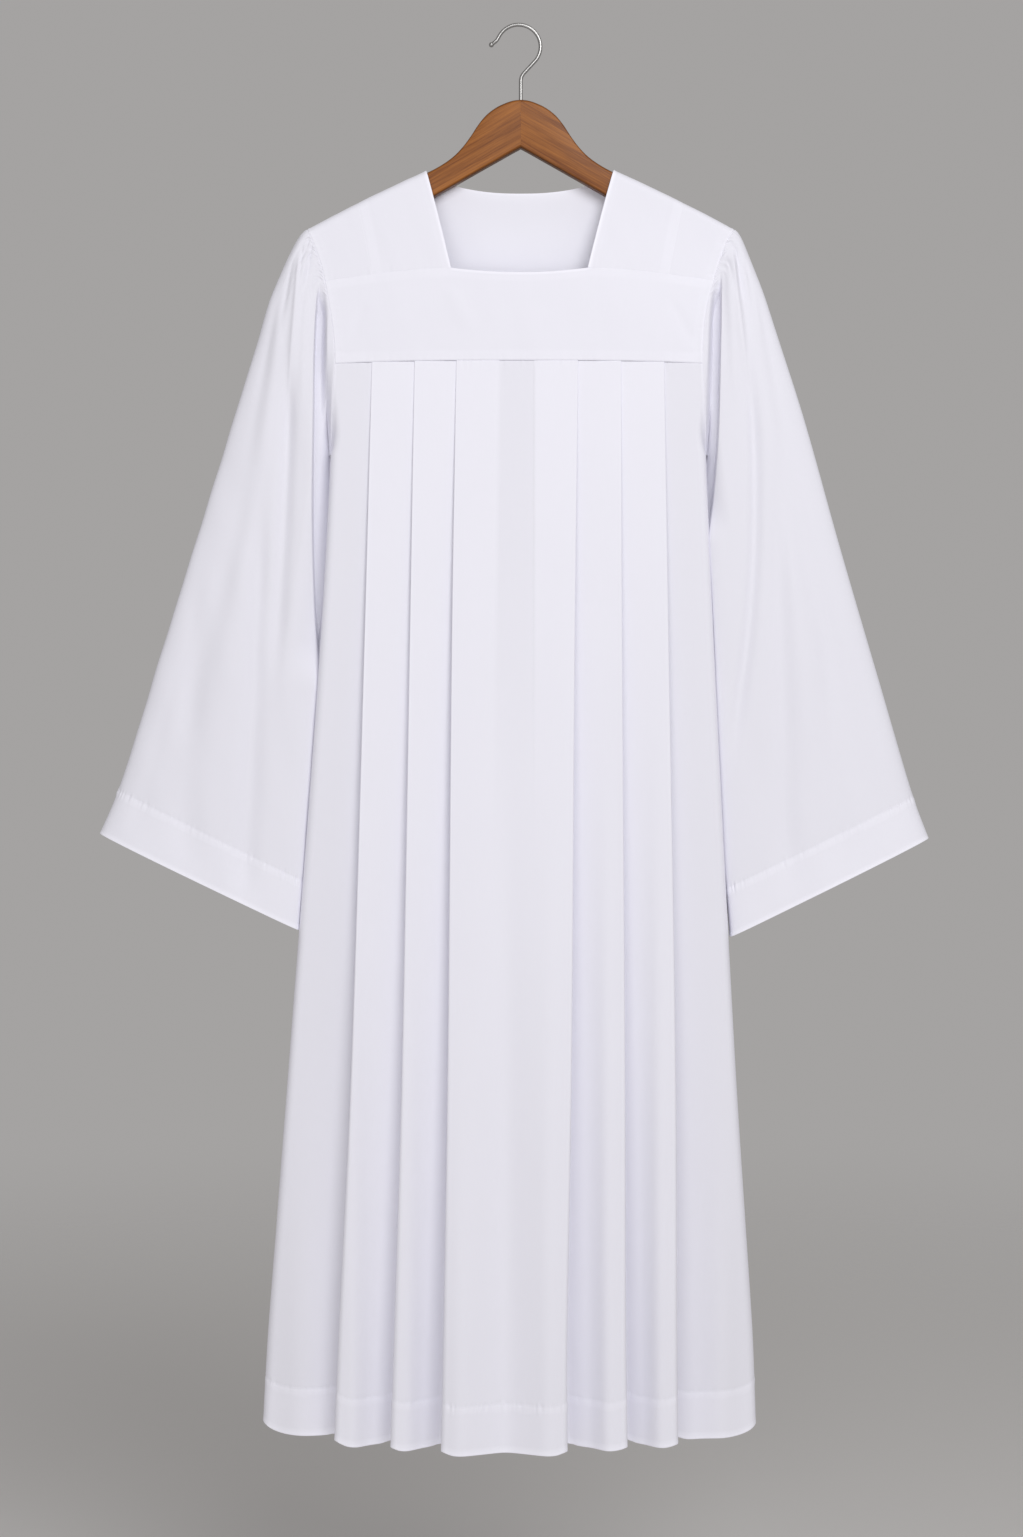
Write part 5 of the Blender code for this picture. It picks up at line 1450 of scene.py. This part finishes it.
def sleeve_surface(side, along, across, face):
    """Smooth surface of a sleeve, without its folds, at places along and across it."""
    columns = SleeveRow(*zip(*SLEEVES[side]))
    at = SleeveRow(*(along_table(columns.along, column, along) for column in columns))
    clearance = mix(UNDERARM_CLEARANCE, SIDE_CLEARANCE, ramp(along, *SIDE_STRETCH))
    clearance = mix(clearance, CUFF_CLEARANCES[side], ramp(along, *CUFF_STRETCH))
    inner_x = edge_x(SIDE_EDGES[side], skirt_fall(at.inner_z)) + side * clearance
    bow = 2.0 * np.sqrt(np.clip(across * (1.0 - across), 0.0, 1.0))
    fuller = (face < 0) * ramp(across, *INNER_ROUNDING)
    own = np.stack(np.broadcast_arrays(
        mix(at.outer_x, inner_x, across),
        at.back + face * at.half_depth * bow ** mix(SLEEVE_ROUNDNESS, INNER_ROUNDNESS, fuller),
        mix(at.outer_z, at.inner_z, across)), axis=-1)
    hole = np.where((face < 0)[..., None], read_line(armhole_line(side, -1), across),
                    read_line(armhole_line(side, 1), across))
    gap = side * mix(ARMHOLE_GAP, UNDERARM_GAP, ramp(across, *UNDERARM_WIDENING))
    hole = hole + gap[..., None] * (1.0, 0.0, 0.0)
    blend = smooth(along / SLEEVE_BLEND)
    x, y, z = np.moveaxis(mix(hole, own, blend[..., None]), -1, 0)
    out = np.minimum(along * SHOULDER_PUSH_RATE, SHOULDER_PUSH) * smooth(across / PUSH_END_SHARE)
    back_in = np.minimum(along * UNDERARM_PUSH_RATE, UNDERARM_PUSH)
    back_in = back_in * smooth((across - 1.0 + PUSH_END_SHARE) / PUSH_END_SHARE)
    bulge = CAP_BULGE * bell(along - CAP_BULGE_PLACE, CAP_BULGE_LENGTH) * smooth(along / CAP_BULGE_START)
    bulge = bulge * (1.0 - smooth(across / CAP_BULGE_ACROSS))
    return x + side * ((out - back_in) * (1.0 - blend) + bulge), y, z


def fitted_columns(side, along):
    """Places across a sleeve at each row, with the front's close columns drawn to the fold's line."""
    columns, face = sleeve_columns()
    probe = np.linspace(0.0, 1.0, PROBE_COLUMNS)[None, :]
    x, _, z = sleeve_surface(side, along, probe, 0.0 * probe - 1.0)
    fold = np.array([np.interp(0.0, row, probe[0]) for row in inward_of_fold(side, x, z)])
    fold = np.pad(np.clip(fold, *FOLD_PLACE_LIMITS), EVENED_ROWS // 2, mode="edge")
    fold = np.convolve(fold, np.ones(EVENED_ROWS) / EVENED_ROWS, mode="valid")
    fold = mix(CAP_COLUMNS_SHARE, fold[:, None], smooth(along / CAP_COLUMNS_END))
    outside = columns * fold / FOLD_PLACE
    inside = 1.0 - (1.0 - columns) * (1.0 - fold) / (1.0 - FOLD_PLACE)
    face = face[None, :]
    return np.where(face > 0, columns, np.where(columns < FOLD_PLACE, outside, inside)), face


def sleeve_grid(side):
    """Middle points of a sleeve, with the place across it and along it and the face of each."""
    along = sleeve_rows()[:, None]
    across, face = fitted_columns(side, along)
    x, y, z = sleeve_surface(side, along, across, face)
    inward = inward_of_fold(side, x, z)
    shown = inner_fold_window(INNER_FOLDS[side], z)
    roll = smooth(along / EDGE_ROLL_ALONG) * smooth((1.0 - across) / EDGE_ROLL)
    strip = (1.0 - smooth((STRIP_TOP_Z - z) / STRIP_LENGTH)) * smooth((inward - STRIP_START) / STRIP_STEP)
    drop = INNER_FOLD_DROP * smooth((inward + INNER_FOLD_STEP / 3) / INNER_FOLD_STEP) * (1.0 - strip)
    crest = INNER_FOLD_CREST * bell(inward - INNER_CREST_PLACE, INNER_CREST_WIDTH)
    overhang = INNER_FOLD_OVERHANG * bell(inward - INNER_FOLD_OVERHANG_PLACE, INNER_FOLD_OVERHANG_WIDTH)
    in_front = shown * (face < 0) * roll
    crevice = ramp(across, CREVICE_START, 1.0) * smooth(along / EDGE_ROLL_ALONG) * shown
    x = x + side * overhang * in_front
    y = y * (1.0 + in_front * (crest - drop)) + CREVICE_DEPTH * crevice
    return np.stack([x, y, z], axis=-1), across, along + 0.0 * across, face


def ripple(turns, softness):
    """Round ridges, one for each turn, from 0 in a trough to 1 on a ridge. A soft trough is wide."""
    return np.abs(np.sin(math.pi * turns)) ** softness


def crimps(across, down, face, seed):
    """Gathers of the cap: small crimps at the seam that lean down the sleeve, and longer folds below."""
    run = across * ARMHOLE_LENGTH * face
    window = smooth((across - GATHER_START) * GATHER_START_RATE + 0.5)
    window = window * smooth((GATHER_END - across) * GATHER_END_RATE)
    uneven = UNEVEN_MEAN + UNEVEN_RANGE * wander(run, UNEVEN_WAVE, seed + UNEVEN_SEED)
    uneven = np.clip(uneven, *UNEVEN_LIMITS)
    total = 0.0 * down
    for kind in GATHERS:
        turns = (run - kind.lean * down) / kind.wave
        turns = turns + kind.stray * wander(run, kind.stray_wave, seed + kind.seed)
        shown = smooth(down / kind.grown) * bell(down, kind.reach * uneven)
        total += (ripple(turns, kind.softness) - kind.level) * kind.depth * shown
    return total * uneven * window


def sleeve(name, side):
    """Bell sleeve, gathered at the cap and with two layers at the cuff."""
    grid, across, along, face = sleeve_grid(side)
    down = lengths_along(grid, 0)
    row_of_stitch = np.argmin(np.abs(along[:, 0] - CUFF_STITCH_ALONG))
    from_stitch = down[row_of_stitch][None, :] - down
    from_cuff = down[-1:] - down
    around = np.broadcast_to(lengths_along(grid[-1:], 1), along.shape)
    layers_and_painted_light, lift = hem_finish(around, from_stitch, from_cuff, CUFF_PUCKERS[side])
    lift += seam_roll(down, ARMHOLE_SEAM_DEPTH) + crimps(across, down, face, CAP_GATHERS[side])
    x, z = grid[..., 0], grid[..., 2]
    front_folds = crease_lift(SLEEVE_FRONT_CREASES[side], x, z) + gore_lift(side, x, z)
    folds = np.where(face < 0, front_folds, crease_lift(SLEEVE_BACK_CREASES[side], x, z))
    folds = folds * smooth(down / SLEEVE_CREASE_TOP) * smooth(SLEEVE_CREASE_RATE * across * (1.0 - across))
    lift += folds + swaying(SLEEVE_SWAY, side, x, z) * smooth(down / SLEEVE_SWAY_TOP)
    normals = facing(grid_normals(grid, True), grid - grid.mean(axis=1, keepdims=True))
    grid = grid + normals * lift[..., None]
    piece = cloth_shell(name, grid, hemmed_wall(from_cuff, SKIRT_HEM_REACH), layers_and_painted_light, normals, True)
    return piece, grid, normals


# Stitches


def unit(vector):
    """The vector at length 1."""
    return vector / np.linalg.norm(vector)


def stitch_row(name, points, normals):
    """Row of small thread stitches laid along a line of points on the cloth."""
    settings = bpy.context.scene.surplice_sewing
    length = settings.stitch_length / MM
    pitch = length * STITCH_SPACING
    radius = settings.thread / MM / 2
    half_wall = cloth_settings().wall / MM / 2
    run = lengths_along(points, 0)
    turns = 2 * math.pi * np.arange(THREAD_SIDES)[:, None] / THREAD_SIDES
    vertices = []
    faces = []
    for index in range(int(run[-1] / pitch)):
        middle = (index + 0.5) * pitch
        stations = [middle + part * length for part, _ in THREAD_OUTLINE]
        places = np.stack([np.interp(stations, run, points[:, axis]) for axis in range(3)], axis=-1)
        up = np.array([np.interp(middle, run, normals[:, axis]) for axis in range(3)])
        ahead = unit(places[-1] - places[0])
        beside = unit(np.cross(up, ahead))
        up = np.cross(ahead, beside)
        faces += tube_faces(len(THREAD_OUTLINE), THREAD_SIDES, len(vertices))
        for (part, size), place in zip(THREAD_OUTLINE, places):
            sunk = place + up * (half_wall + radius * (THREAD_RISE - THREAD_BOW * part * part))
            vertices += list(sunk + (beside * np.cos(turns) + up * np.sin(turns)) * radius * size)
    piece = new_piece(name, vertices, faces, thread_material())
    return piece


# Hanger


def hook_route():
    """Centre line of the wire, from its foot in the wood to its ball end, as (x, z, radius)."""
    arc = [(HOOK_RADIUS * math.cos(angle), WIRE_RADIUS - HOOK_RADIUS + HOOK_RADIUS * math.sin(angle))
           for angle in np.linspace(*HOOK_ARC, HOOK_ARC_STEPS)]
    start = np.array((CENTRE_X, STEM_TOP_Z - STEM_BEND))
    corner = np.array((CENTRE_X, STEM_TOP_Z))
    finish = corner + unit(np.array(arc[0]) - corner) * STEM_BEND
    bend = [mix(mix(start, corner, t), mix(corner, finish, t), t)
            for t in np.linspace(0.0, 1.0, STEM_BEND_STEPS)]
    route = [(x, z, WIRE_RADIUS) for x, z in [(CENTRE_X, STEM_END_Z), *bend, *arc]]
    shares = np.linspace(*HOOK_FLICK_SHARES, HOOK_FLICK_STEPS)
    runs = [(HOOK_FLICK * share, WIRE_RADIUS) for share in shares]
    ball = HOOK_FLICK * HOOK_FLICK_SHARES[1] + BALL_NECK
    for angle in np.linspace(*BALL_ARC, BALL_STEPS):
        radius = max(BALL_RADIUS * math.sin(angle), BALL_TIP_RADIUS)
        runs.append((ball + BALL_RADIUS * math.cos(angle), radius))
    x, z, _ = route[-1]
    before = 0.0
    for run, radius in runs:
        turned = HOOK_FLICK_TURN * ramp(run / HOOK_FLICK, *HOOK_FLICK_STRETCH)
        heading = HOOK_ARC[1] + math.radians(90.0) - turned
        x += (run - before) * math.cos(heading)
        z += (run - before) * math.sin(heading)
        route.append((x, z, radius))
        before = run
    return route


def hook():
    """Wire hook of the hanger."""
    route = np.array(hook_route())
    angles = 2 * math.pi * np.arange(WIRE_SIDES) / WIRE_SIDES
    rings = []
    for index, (x, z, radius) in enumerate(route):
        along = unit(route[min(index + 1, len(route) - 1), :2] - route[max(index - 1, 0), :2])
        spread = radius * np.cos(angles)
        ring = [x + along[1] * spread, radius * np.sin(angles), z - along[0] * spread]
        rings.append(np.stack(ring, axis=-1))
    faces = tube_faces(len(rings), WIRE_SIDES)
    piece = new_piece("hook_wire", np.concatenate(rings), faces, wire_material(), HANGER_CREASE)
    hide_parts("hanger_hook")
    return piece


def arm_section(x, top, bottom, half_thick):
    """Rounded rectangle across a hanger arm."""
    radius = min(ARM_EDGE_RADIUS, half_thick * ARM_EDGE_SHARE, (top - bottom) / 2 * ARM_EDGE_SHARE)
    points = []
    for corner_y, corner_z, first in ARM_CORNERS:
        for step in range(ARM_CORNER_STEPS + 1):
            angle = math.radians(first + 90.0 * step / ARM_CORNER_STEPS)
            y = corner_y * (half_thick - radius) + radius * math.cos(angle)
            z = (top + bottom) / 2 + corner_z * ((top - bottom) / 2 - radius) + radius * math.sin(angle)
            points.append((x, y, z))
    return np.array(points)


def section_edge_shade(ring, top, bottom):
    """1 at the top and bottom of an arm's section, falling to 0 on its flat sides: where painted shade
    darkens the rounded edges.
    """
    depth = np.minimum(top - ring[:, 2], ring[:, 2] - bottom)
    return 1.0 - smooth(depth / (ARM_EDGE_RADIUS * ARM_EDGE_SHARE))


def arm(word, side):
    """One wooden arm of the hanger, from the mitre in the middle to its rounded tip."""
    reaches, *columns = zip(*ARM_STATIONS)
    places = []
    for first, second in zip(reaches, reaches[1:]):
        places += list(np.linspace(first, second, ARM_STEPS_PER_STATION + 1)[:-1])
    places.append(reaches[-1])
    rings = []
    edges = []
    for reach in places:
        top, bottom, half = (float(along_table(reaches, column, reach)) for column in columns)
        rings.append(arm_section(CENTRE_X + side * reach, top, bottom, half))
        edges.append(section_edge_shade(rings[-1], top, bottom))
    end = rings[-1]
    middle = end.mean(axis=0)
    for grow, out in ARM_TIP:
        ring = middle + (end - middle) * grow
        ring[:, 0] = end[0, 0] + side * out
        rings.append(ring)
        edges.append(edges[-1])
    if side < 0:
        rings = [ring[::-1] for ring in rings]
        edges = [edge[::-1] for edge in edges]
    faces = tube_faces(len(rings), len(rings[0]))
    piece = new_piece("arm_wood_" + word, np.concatenate(rings), faces, wood_material(word, side),
                      HANGER_CREASE)
    # The edge attribute marks where the wood's rounded edges get painted shade
    add_attribute(piece, "edge", "FLOAT", "value", np.concatenate(edges))
    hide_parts("hanger_arm_" + word)
    return piece


# Finishes


class Value:
    """Output of a shader node. Arithmetic on it adds Math nodes."""

    def __init__(self, finish, socket):
        self.finish = finish
        self.socket = socket

    def combine(self, operation, first, second):
        """Math node on two values or numbers."""
        return self.finish.node("ShaderNodeMath", {"operation": operation}, {0: first, 1: second})

    def __add__(self, other):
        return self.combine("ADD", self, other)

    def __radd__(self, other):
        return self.combine("ADD", other, self)

    def __mul__(self, other):
        return self.combine("MULTIPLY", self, other)

    def __rmul__(self, other):
        return self.combine("MULTIPLY", other, self)


class Finish:
    """Material with one Principled shader, built up node by node."""

    def __init__(self, name, **constants):
        self.material = bpy.data.materials.new(name)
        self.material.use_nodes = True
        self.tree = self.material.node_tree
        self.shader = self.tree.nodes["Principled BSDF"]
        for socket, value in constants.items():
            self.shader.inputs[socket.replace("_", " ")].default_value = value

    def node(self, kind, settings=None, sockets=None, output=0):
        """Node of a type, with its settings, then the values or links of its sockets."""
        made = self.tree.nodes.new(kind)
        for setting, value in (settings or {}).items():
            if setting == "stops":
                ramp_stops = made.color_ramp.elements
                for index, (place, colour) in enumerate(value):
                    stop = ramp_stops[index] if index < 2 else ramp_stops.new(place)
                    stop.position = place
                    stop.color = colour
            else:
                setattr(made, setting, value)
        for socket, value in (sockets or {}).items():
            if isinstance(value, Value):
                self.tree.links.new(value.socket, made.inputs[socket])
            else:
                made.inputs[socket].default_value = value
        return Value(self, made.outputs[output])

    def place(self):
        """Place on the piece, in metres."""
        return self.node("ShaderNodeTexCoord", output="Object")

    def attribute(self, name, output="Fac"):
        """What the piece's mesh says at each point."""
        return self.node("ShaderNodeAttribute", {"attribute_name": name}, output=output)

    def stretch(self, vector, rates):
        """The vector, multiplied along each axis."""
        return self.node("ShaderNodeVectorMath", {"operation": "MULTIPLY"}, {0: vector, 1: rates})

    def noise(self, vector, scale, detail, **more):
        """Noise over a vector."""
        sockets = {"Vector": vector, "Scale": scale, "Detail": detail, **more}
        return self.node("ShaderNodeTexNoise", {}, sockets)

    def blend(self, factor, first, second):
        """Colour between two colours."""
        return self.node("ShaderNodeMix", {"data_type": "RGBA"}, {0: factor, 6: first, 7: second}, output=2)

    def relief(self, height, strength, distance):
        """Feed a height to the shader as small relief."""
        bump = self.node("ShaderNodeBump", {}, {"Strength": strength, "Distance": distance, "Height": height})
        self.feed("Normal", bump)

    def feed(self, socket, value):
        """Link a value to the shader."""
        self.tree.links.new(value.socket, self.shader.inputs[socket])


def opaque(colour):
    """Colour with full opacity."""
    return (*colour, 1.0)


def cloth_material():
    """White plain-woven cloth: fine threads, faint slubs, and whiter where layers lie on each other, along
    rims as painted highlights and inside the back yoke as painted light.
    """
    known = bpy.data.materials.get("surplice_cloth")
    if known:
        return known
    settings = cloth_settings()
    finish = Finish("surplice_cloth", Roughness=settings.roughness, Sheen_Weight=0.12, Sheen_Roughness=0.5)
    thread = finish.attribute("thread", "Vector")
    layers_and_painted_light = finish.attribute("layers_and_painted_light")
    across = finish.node("ShaderNodeSeparateXYZ", {}, {0: thread})
    along = Value(finish, across.socket.node.outputs[1])
    turns = 2 * math.pi / settings.weave_pitch
    warp = finish.node("ShaderNodeMath", {"operation": "SINE"}, {0: across * turns})
    weft = finish.node("ShaderNodeMath", {"operation": "SINE"}, {0: along * turns})
    slub = finish.noise(finish.stretch(thread, SLUB_RATES), 1.0, 2.0)
    mottle = finish.noise(finish.place(), 14.0, 3.0)
    # Lighter where layers lie, and where highlights and light are painted
    shade = finish.node("ShaderNodeMath", {"operation": "ADD", "use_clamp": True},
                        {0: layers_and_painted_light + 0.10 * mottle + 0.10 * slub, 1: -0.10})
    colour = finish.blend(shade, opaque(settings.single_colour), opaque(settings.doubled_and_painted_light_colour))
    finish.feed("Base Color", colour)
    finish.relief(0.5 * (warp * weft) + 0.35 * slub, 0.24, 0.00012)
    return finish.material


def thread_material():
    """White sewing thread, a little glossier than the cloth."""
    known = bpy.data.materials.get("sewing_thread")
    if known:
        return known
    settings = cloth_settings()
    finish = Finish("sewing_thread", Roughness=0.55)
    ply = finish.noise(finish.place(), 900.0, 1.0)
    colour = finish.blend(ply, opaque(settings.single_colour), opaque(settings.doubled_and_painted_light_colour))
    finish.feed("Base Color", colour)
    return finish.material


def wood_material(word, side):
    """Varnished hardwood with its grain along the arm, and painted shade along its rounded top and bottom
    edges.
    """
    settings = bpy.context.scene.surplice_hanger
    finish = Finish("hanger_wood_" + word, Coat_Weight=0.04, Coat_Roughness=0.25, Specular_IOR_Level=0.2)
    turned = finish.node("ShaderNodeMapping", {"vector_type": "POINT"},
                         {"Vector": finish.place(), "Rotation": (0.0, -side * settings.grain_slope, 0.0),
                          "Location": (side * GRAIN_SHIFT, 0.0, 0.0)})
    bands = finish.noise(finish.stretch(turned, GRAIN_RATES), 0.55, 5.0, Roughness=0.55, Distortion=0.35)
    pores = finish.noise(finish.stretch(turned, PORE_RATES), 1.0, 3.0, Roughness=0.6)
    stops = tuple(zip(GRAIN_STOPS, (opaque(settings.dark_wood), opaque(settings.light_wood))))
    grain = finish.node("ShaderNodeValToRGB", {"stops": stops}, {0: 0.55 * bands + 0.45 * pores})
    # Painted shade along the rounded top and bottom edges
    edge = finish.attribute("edge")
    finish.feed("Base Color", finish.blend(0.75 * edge, grain, opaque(settings.edge_shade_wood)))
    finish.feed("Roughness", 0.30 + 0.18 * pores)
    finish.relief(pores, 0.2, 0.0002)
    return finish.material


def wire_material():
    """Drawn steel wire, with faint marks along it."""
    colour = bpy.context.scene.surplice_hanger.wire_colour
    finish = Finish("hook_wire", Metallic=1.0)
    marks = finish.noise(finish.place(), 420.0, 3.0)
    marked = opaque(part * WIRE_MARK_SHARE for part in colour)
    finish.feed("Base Color", finish.blend(marks, opaque(colour), marked))
    finish.feed("Roughness", 0.24 + 0.12 * marks)
    return finish.material


def floor_material(colour):
    """Matt floor that fades out towards its rim."""
    finish = Finish("floor", Base_Color=opaque(colour), Roughness=0.9)
    reach = finish.node("ShaderNodeVectorMath", {"operation": "LENGTH"}, {0: finish.place()}, output="Value")
    start, end = FLOOR_FADE
    fade = finish.node("ShaderNodeMapRange", {"interpolation_type": "SMOOTHSTEP"},
                       {0: reach, 1: start, 2: end, 3: 0.0, 4: 1.0})
    clear = finish.node("ShaderNodeBsdfTransparent")
    matt = Value(finish, finish.shader.outputs[0])
    faded = finish.node("ShaderNodeMixShader", {}, {0: fade, 1: matt, 2: clear})
    finish.tree.links.new(faded.socket, finish.tree.nodes["Material Output"].inputs[0])
    return finish.material


# Stage


def area_light(name, place, size, energy):
    """Soft white light that faces the garment."""
    data = bpy.data.lights.new(name, "AREA")
    data.shape = "DISK"
    data.size = size
    data.energy = energy
    lamp = bpy.data.objects.new(name, data)
    lamp.location = place
    lamp.rotation_euler = (Vector(LIGHT_TARGET) - Vector(place)).to_track_quat("-Z", "Y").to_euler()
    bpy.context.collection.objects.link(lamp)


def stage():
    """Camera, lights, backdrop tone and floor."""
    settings = bpy.context.scene.surplice_stage
    scene = bpy.context.scene
    data = bpy.data.cameras.new("camera")
    data.lens = CAMERA_LENS
    data.sensor_fit = "VERTICAL"
    data.sensor_height = CAMERA_SENSOR
    camera = bpy.data.objects.new("camera", data)
    camera.location = CAMERA_PLACE
    camera.rotation_euler = (math.radians(90.0), 0.0, 0.0)
    bpy.context.collection.objects.link(camera)
    scene.camera = camera
    scene.view_settings.view_transform = "Standard"
    scene.view_settings.look = "None"
    world = bpy.data.worlds.new("studio")
    world.use_nodes = True
    background = world.node_tree.nodes["Background"]
    background.inputs["Color"].default_value = opaque(settings.backdrop)
    background.inputs["Strength"].default_value = 1.0
    scene.world = world
    area_light("key", KEY_PLACE, KEY_SIZE, settings.key)
    area_light("fill", FILL_PLACE, FILL_SIZE, settings.fill)
    bpy.ops.mesh.primitive_circle_add(vertices=96, radius=FLOOR_RADIUS, fill_type="NGON",
                                      location=(0.0, 0.0, FLOOR_Z))
    floor = bpy.context.object
    floor.name = "floor"
    floor.data.materials.append(floor_material(settings.floor_colour))


# Settings


def colour_setting(name, description, default):
    """Colour that the panel shows."""
    return FloatVectorProperty(name=name, description=description, default=default, size=3, min=0.0,
                               max=1.0, subtype="COLOR")


def length_setting(name, description, default, least, most):
    """Small length that the panel shows."""
    return FloatProperty(name=name, description=description, default=default, min=least, max=most,
                         unit="LENGTH", precision=5)


def power_setting(name, description, default):
    """Power of a light that the panel shows."""
    return FloatProperty(name=name, description=description, default=default, min=0.0, max=2000.0,
                         unit="POWER")


class SurpliceCloth(bpy.types.PropertyGroup):
    """Cloth of the garment."""

    wall: length_setting("Wall", "Thickness of one layer of cloth", 0.0006, 0.0002, 0.001)
    weave_pitch: length_setting("Weave pitch", "Distance from thread to thread", 0.0009, 0.0002, 0.002)
    roughness: FloatProperty(name="Roughness", description="How matt the cloth is", default=0.82,
                             min=0.0, max=1.0, subtype="FACTOR")
    single_colour: colour_setting("Cloth", "Colour of one layer", (0.79, 0.785, 0.86))
    # Colour of layered cloth, also used for painted highlights along rims and painted light inside the back
    # yoke
    doubled_and_painted_light_colour: colour_setting("Doubled cloth", "Colour where layers lie together",
                                   (0.915, 0.91, 0.997))


class SurpliceSewing(bpy.types.PropertyGroup):
    """Machine stitching."""

    stitch_length: length_setting("Stitch", "Length of one stitch", 0.0024, 0.001, 0.006)
    thread: length_setting("Thread", "Thickness of the sewing thread", 0.00032, 0.0001, 0.001)


class SurpliceHanger(bpy.types.PropertyGroup):
    """Wood and wire of the hanger."""

    dark_wood: colour_setting("Dark grain", "Colour of the wood's dark bands", (0.150, 0.043, 0.008))
    light_wood: colour_setting("Light grain", "Colour of the wood's light bands", (0.345, 0.125, 0.025))
    # Painted shade for the wood's rounded top and bottom edges
    edge_shade_wood: colour_setting("Edges", "Colour of the wood's rounded edges", (0.060, 0.018, 0.005))
    grain_slope: FloatProperty(name="Grain slope", description="Fall of the grain along an arm",
                               default=math.radians(30.0), min=0.0, max=math.radians(60.0), unit="ROTATION")
    wire_colour: colour_setting("Wire", "Colour of the steel wire", (0.40, 0.395, 0.39))


class SurpliceStage(bpy.types.PropertyGroup):
    """Studio round the garment."""

    backdrop: colour_setting("Backdrop", "Tone behind the garment", (0.375, 0.365, 0.36))
    floor_colour: colour_setting("Floor", "Colour of the floor", (0.70, 0.69, 0.68))
    key: power_setting("Key light", "Power of the light at the upper right", 53.0)
    fill: power_setting("Fill light", "Power of the light beside the camera", 25.0)


# Operators


class SURPLICE_OT_stage(bpy.types.Operator):
    """Set up the camera, the lights and the floor"""

    bl_idname = "surplice.stage"
    bl_label = "Stage"

    def execute(self, context):
        stage()
        return {"FINISHED"}


class SURPLICE_OT_yoke(bpy.types.Operator):
    """Make the front and back yokes and the shoulder pieces"""

    bl_idname = "surplice.yoke"
    bl_label = "Yoke and shoulders"

    def execute(self, context):
        front = front_yoke()
        back = back_yoke()
        for piece in shoulders():
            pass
        return {"FINISHED"}


class SURPLICE_OT_skirts(bpy.types.Operator):
    """Make the pleated front and back skirts with their hems"""

    bl_idname = "surplice.skirts"
    bl_label = "Skirts"

    def execute(self, context):
        row = np.argmin(np.abs(skirt_levels() - (HEM_Z + HEM_BAND)))
        for name, face, wide in (("front_skirt_cloth", -1, 0.76), ("back_skirt_cloth", 1, 0.71)):
            piece, grid, normals = skirt(name, face)
            thread = stitch_row(name.replace("cloth", "hem_stitches"), grid[row], normals[row])
        return {"FINISHED"}


class SURPLICE_OT_sleeves(bpy.types.Operator):
    """Make the gathered bell sleeves with their cuffs"""

    bl_idname = "surplice.sleeves"
    bl_label = "Sleeves"

    def execute(self, context):
        row = np.argmin(np.abs(sleeve_rows() - CUFF_STITCH_ALONG))
        for side, word in WORDS.items():
            piece, grid, normals = sleeve("sleeve_" + word + "_cloth", side)
            ring, ring_normals = (np.append(field[row], field[row, :1], axis=0) for field in (grid, normals))
            thread = stitch_row("sleeve_" + word + "_cuff_stitches", ring, ring_normals)
        return {"FINISHED"}


class SURPLICE_OT_hanger(bpy.types.Operator):
    """Make the hanger's wooden arms and wire hook"""

    bl_idname = "surplice.hanger"
    bl_label = "Hanger"

    def execute(self, context):
        arm("left", -1)
        arm("right", 1)
        hook()
        return {"FINISHED"}


class SURPLICE_PT_panel(bpy.types.Panel):
    """Lists the garment's pieces and settings"""

    bl_idname = "SURPLICE_PT_panel"
    bl_label = "Surplice"
    bl_space_type = "VIEW_3D"
    bl_region_type = "UI"
    bl_category = "Surplice"

    def draw(self, context):
        for group in (context.scene.surplice_cloth, context.scene.surplice_sewing,
                      context.scene.surplice_hanger, context.scene.surplice_stage):
            box = self.layout.box()
            for setting in group.bl_rna.properties:
                if setting.identifier not in {"name", "rna_type"}:
                    box.prop(group, setting.identifier)
        for operator in OPERATORS:
            self.layout.operator(operator.bl_idname)


SETTINGS = {
    "surplice_cloth": SurpliceCloth,
    "surplice_sewing": SurpliceSewing,
    "surplice_hanger": SurpliceHanger,
    "surplice_stage": SurpliceStage,
}
OPERATORS = (SURPLICE_OT_stage, SURPLICE_OT_yoke, SURPLICE_OT_skirts, SURPLICE_OT_sleeves,
             SURPLICE_OT_hanger)


def register():
    """Register the settings, the operators and the panel."""
    for name, group in SETTINGS.items():
        bpy.utils.register_class(group)
        setattr(bpy.types.Scene, name, PointerProperty(type=group))
    for operator in OPERATORS:
        bpy.utils.register_class(operator)
    bpy.utils.register_class(SURPLICE_PT_panel)


def unregister():
    """Take back everything that register adds."""
    bpy.utils.unregister_class(SURPLICE_PT_panel)
    for operator in reversed(OPERATORS):
        bpy.utils.unregister_class(operator)
    for name, group in SETTINGS.items():
        delattr(bpy.types.Scene, name)
        bpy.utils.unregister_class(group)


def main():
    """Build the stage and every piece."""
    register()
    bpy.ops.surplice.stage()
    bpy.ops.surplice.yoke()
    bpy.ops.surplice.skirts()
    bpy.ops.surplice.sleeves()
    bpy.ops.surplice.hanger()


if __name__ == "__main__":
    main()
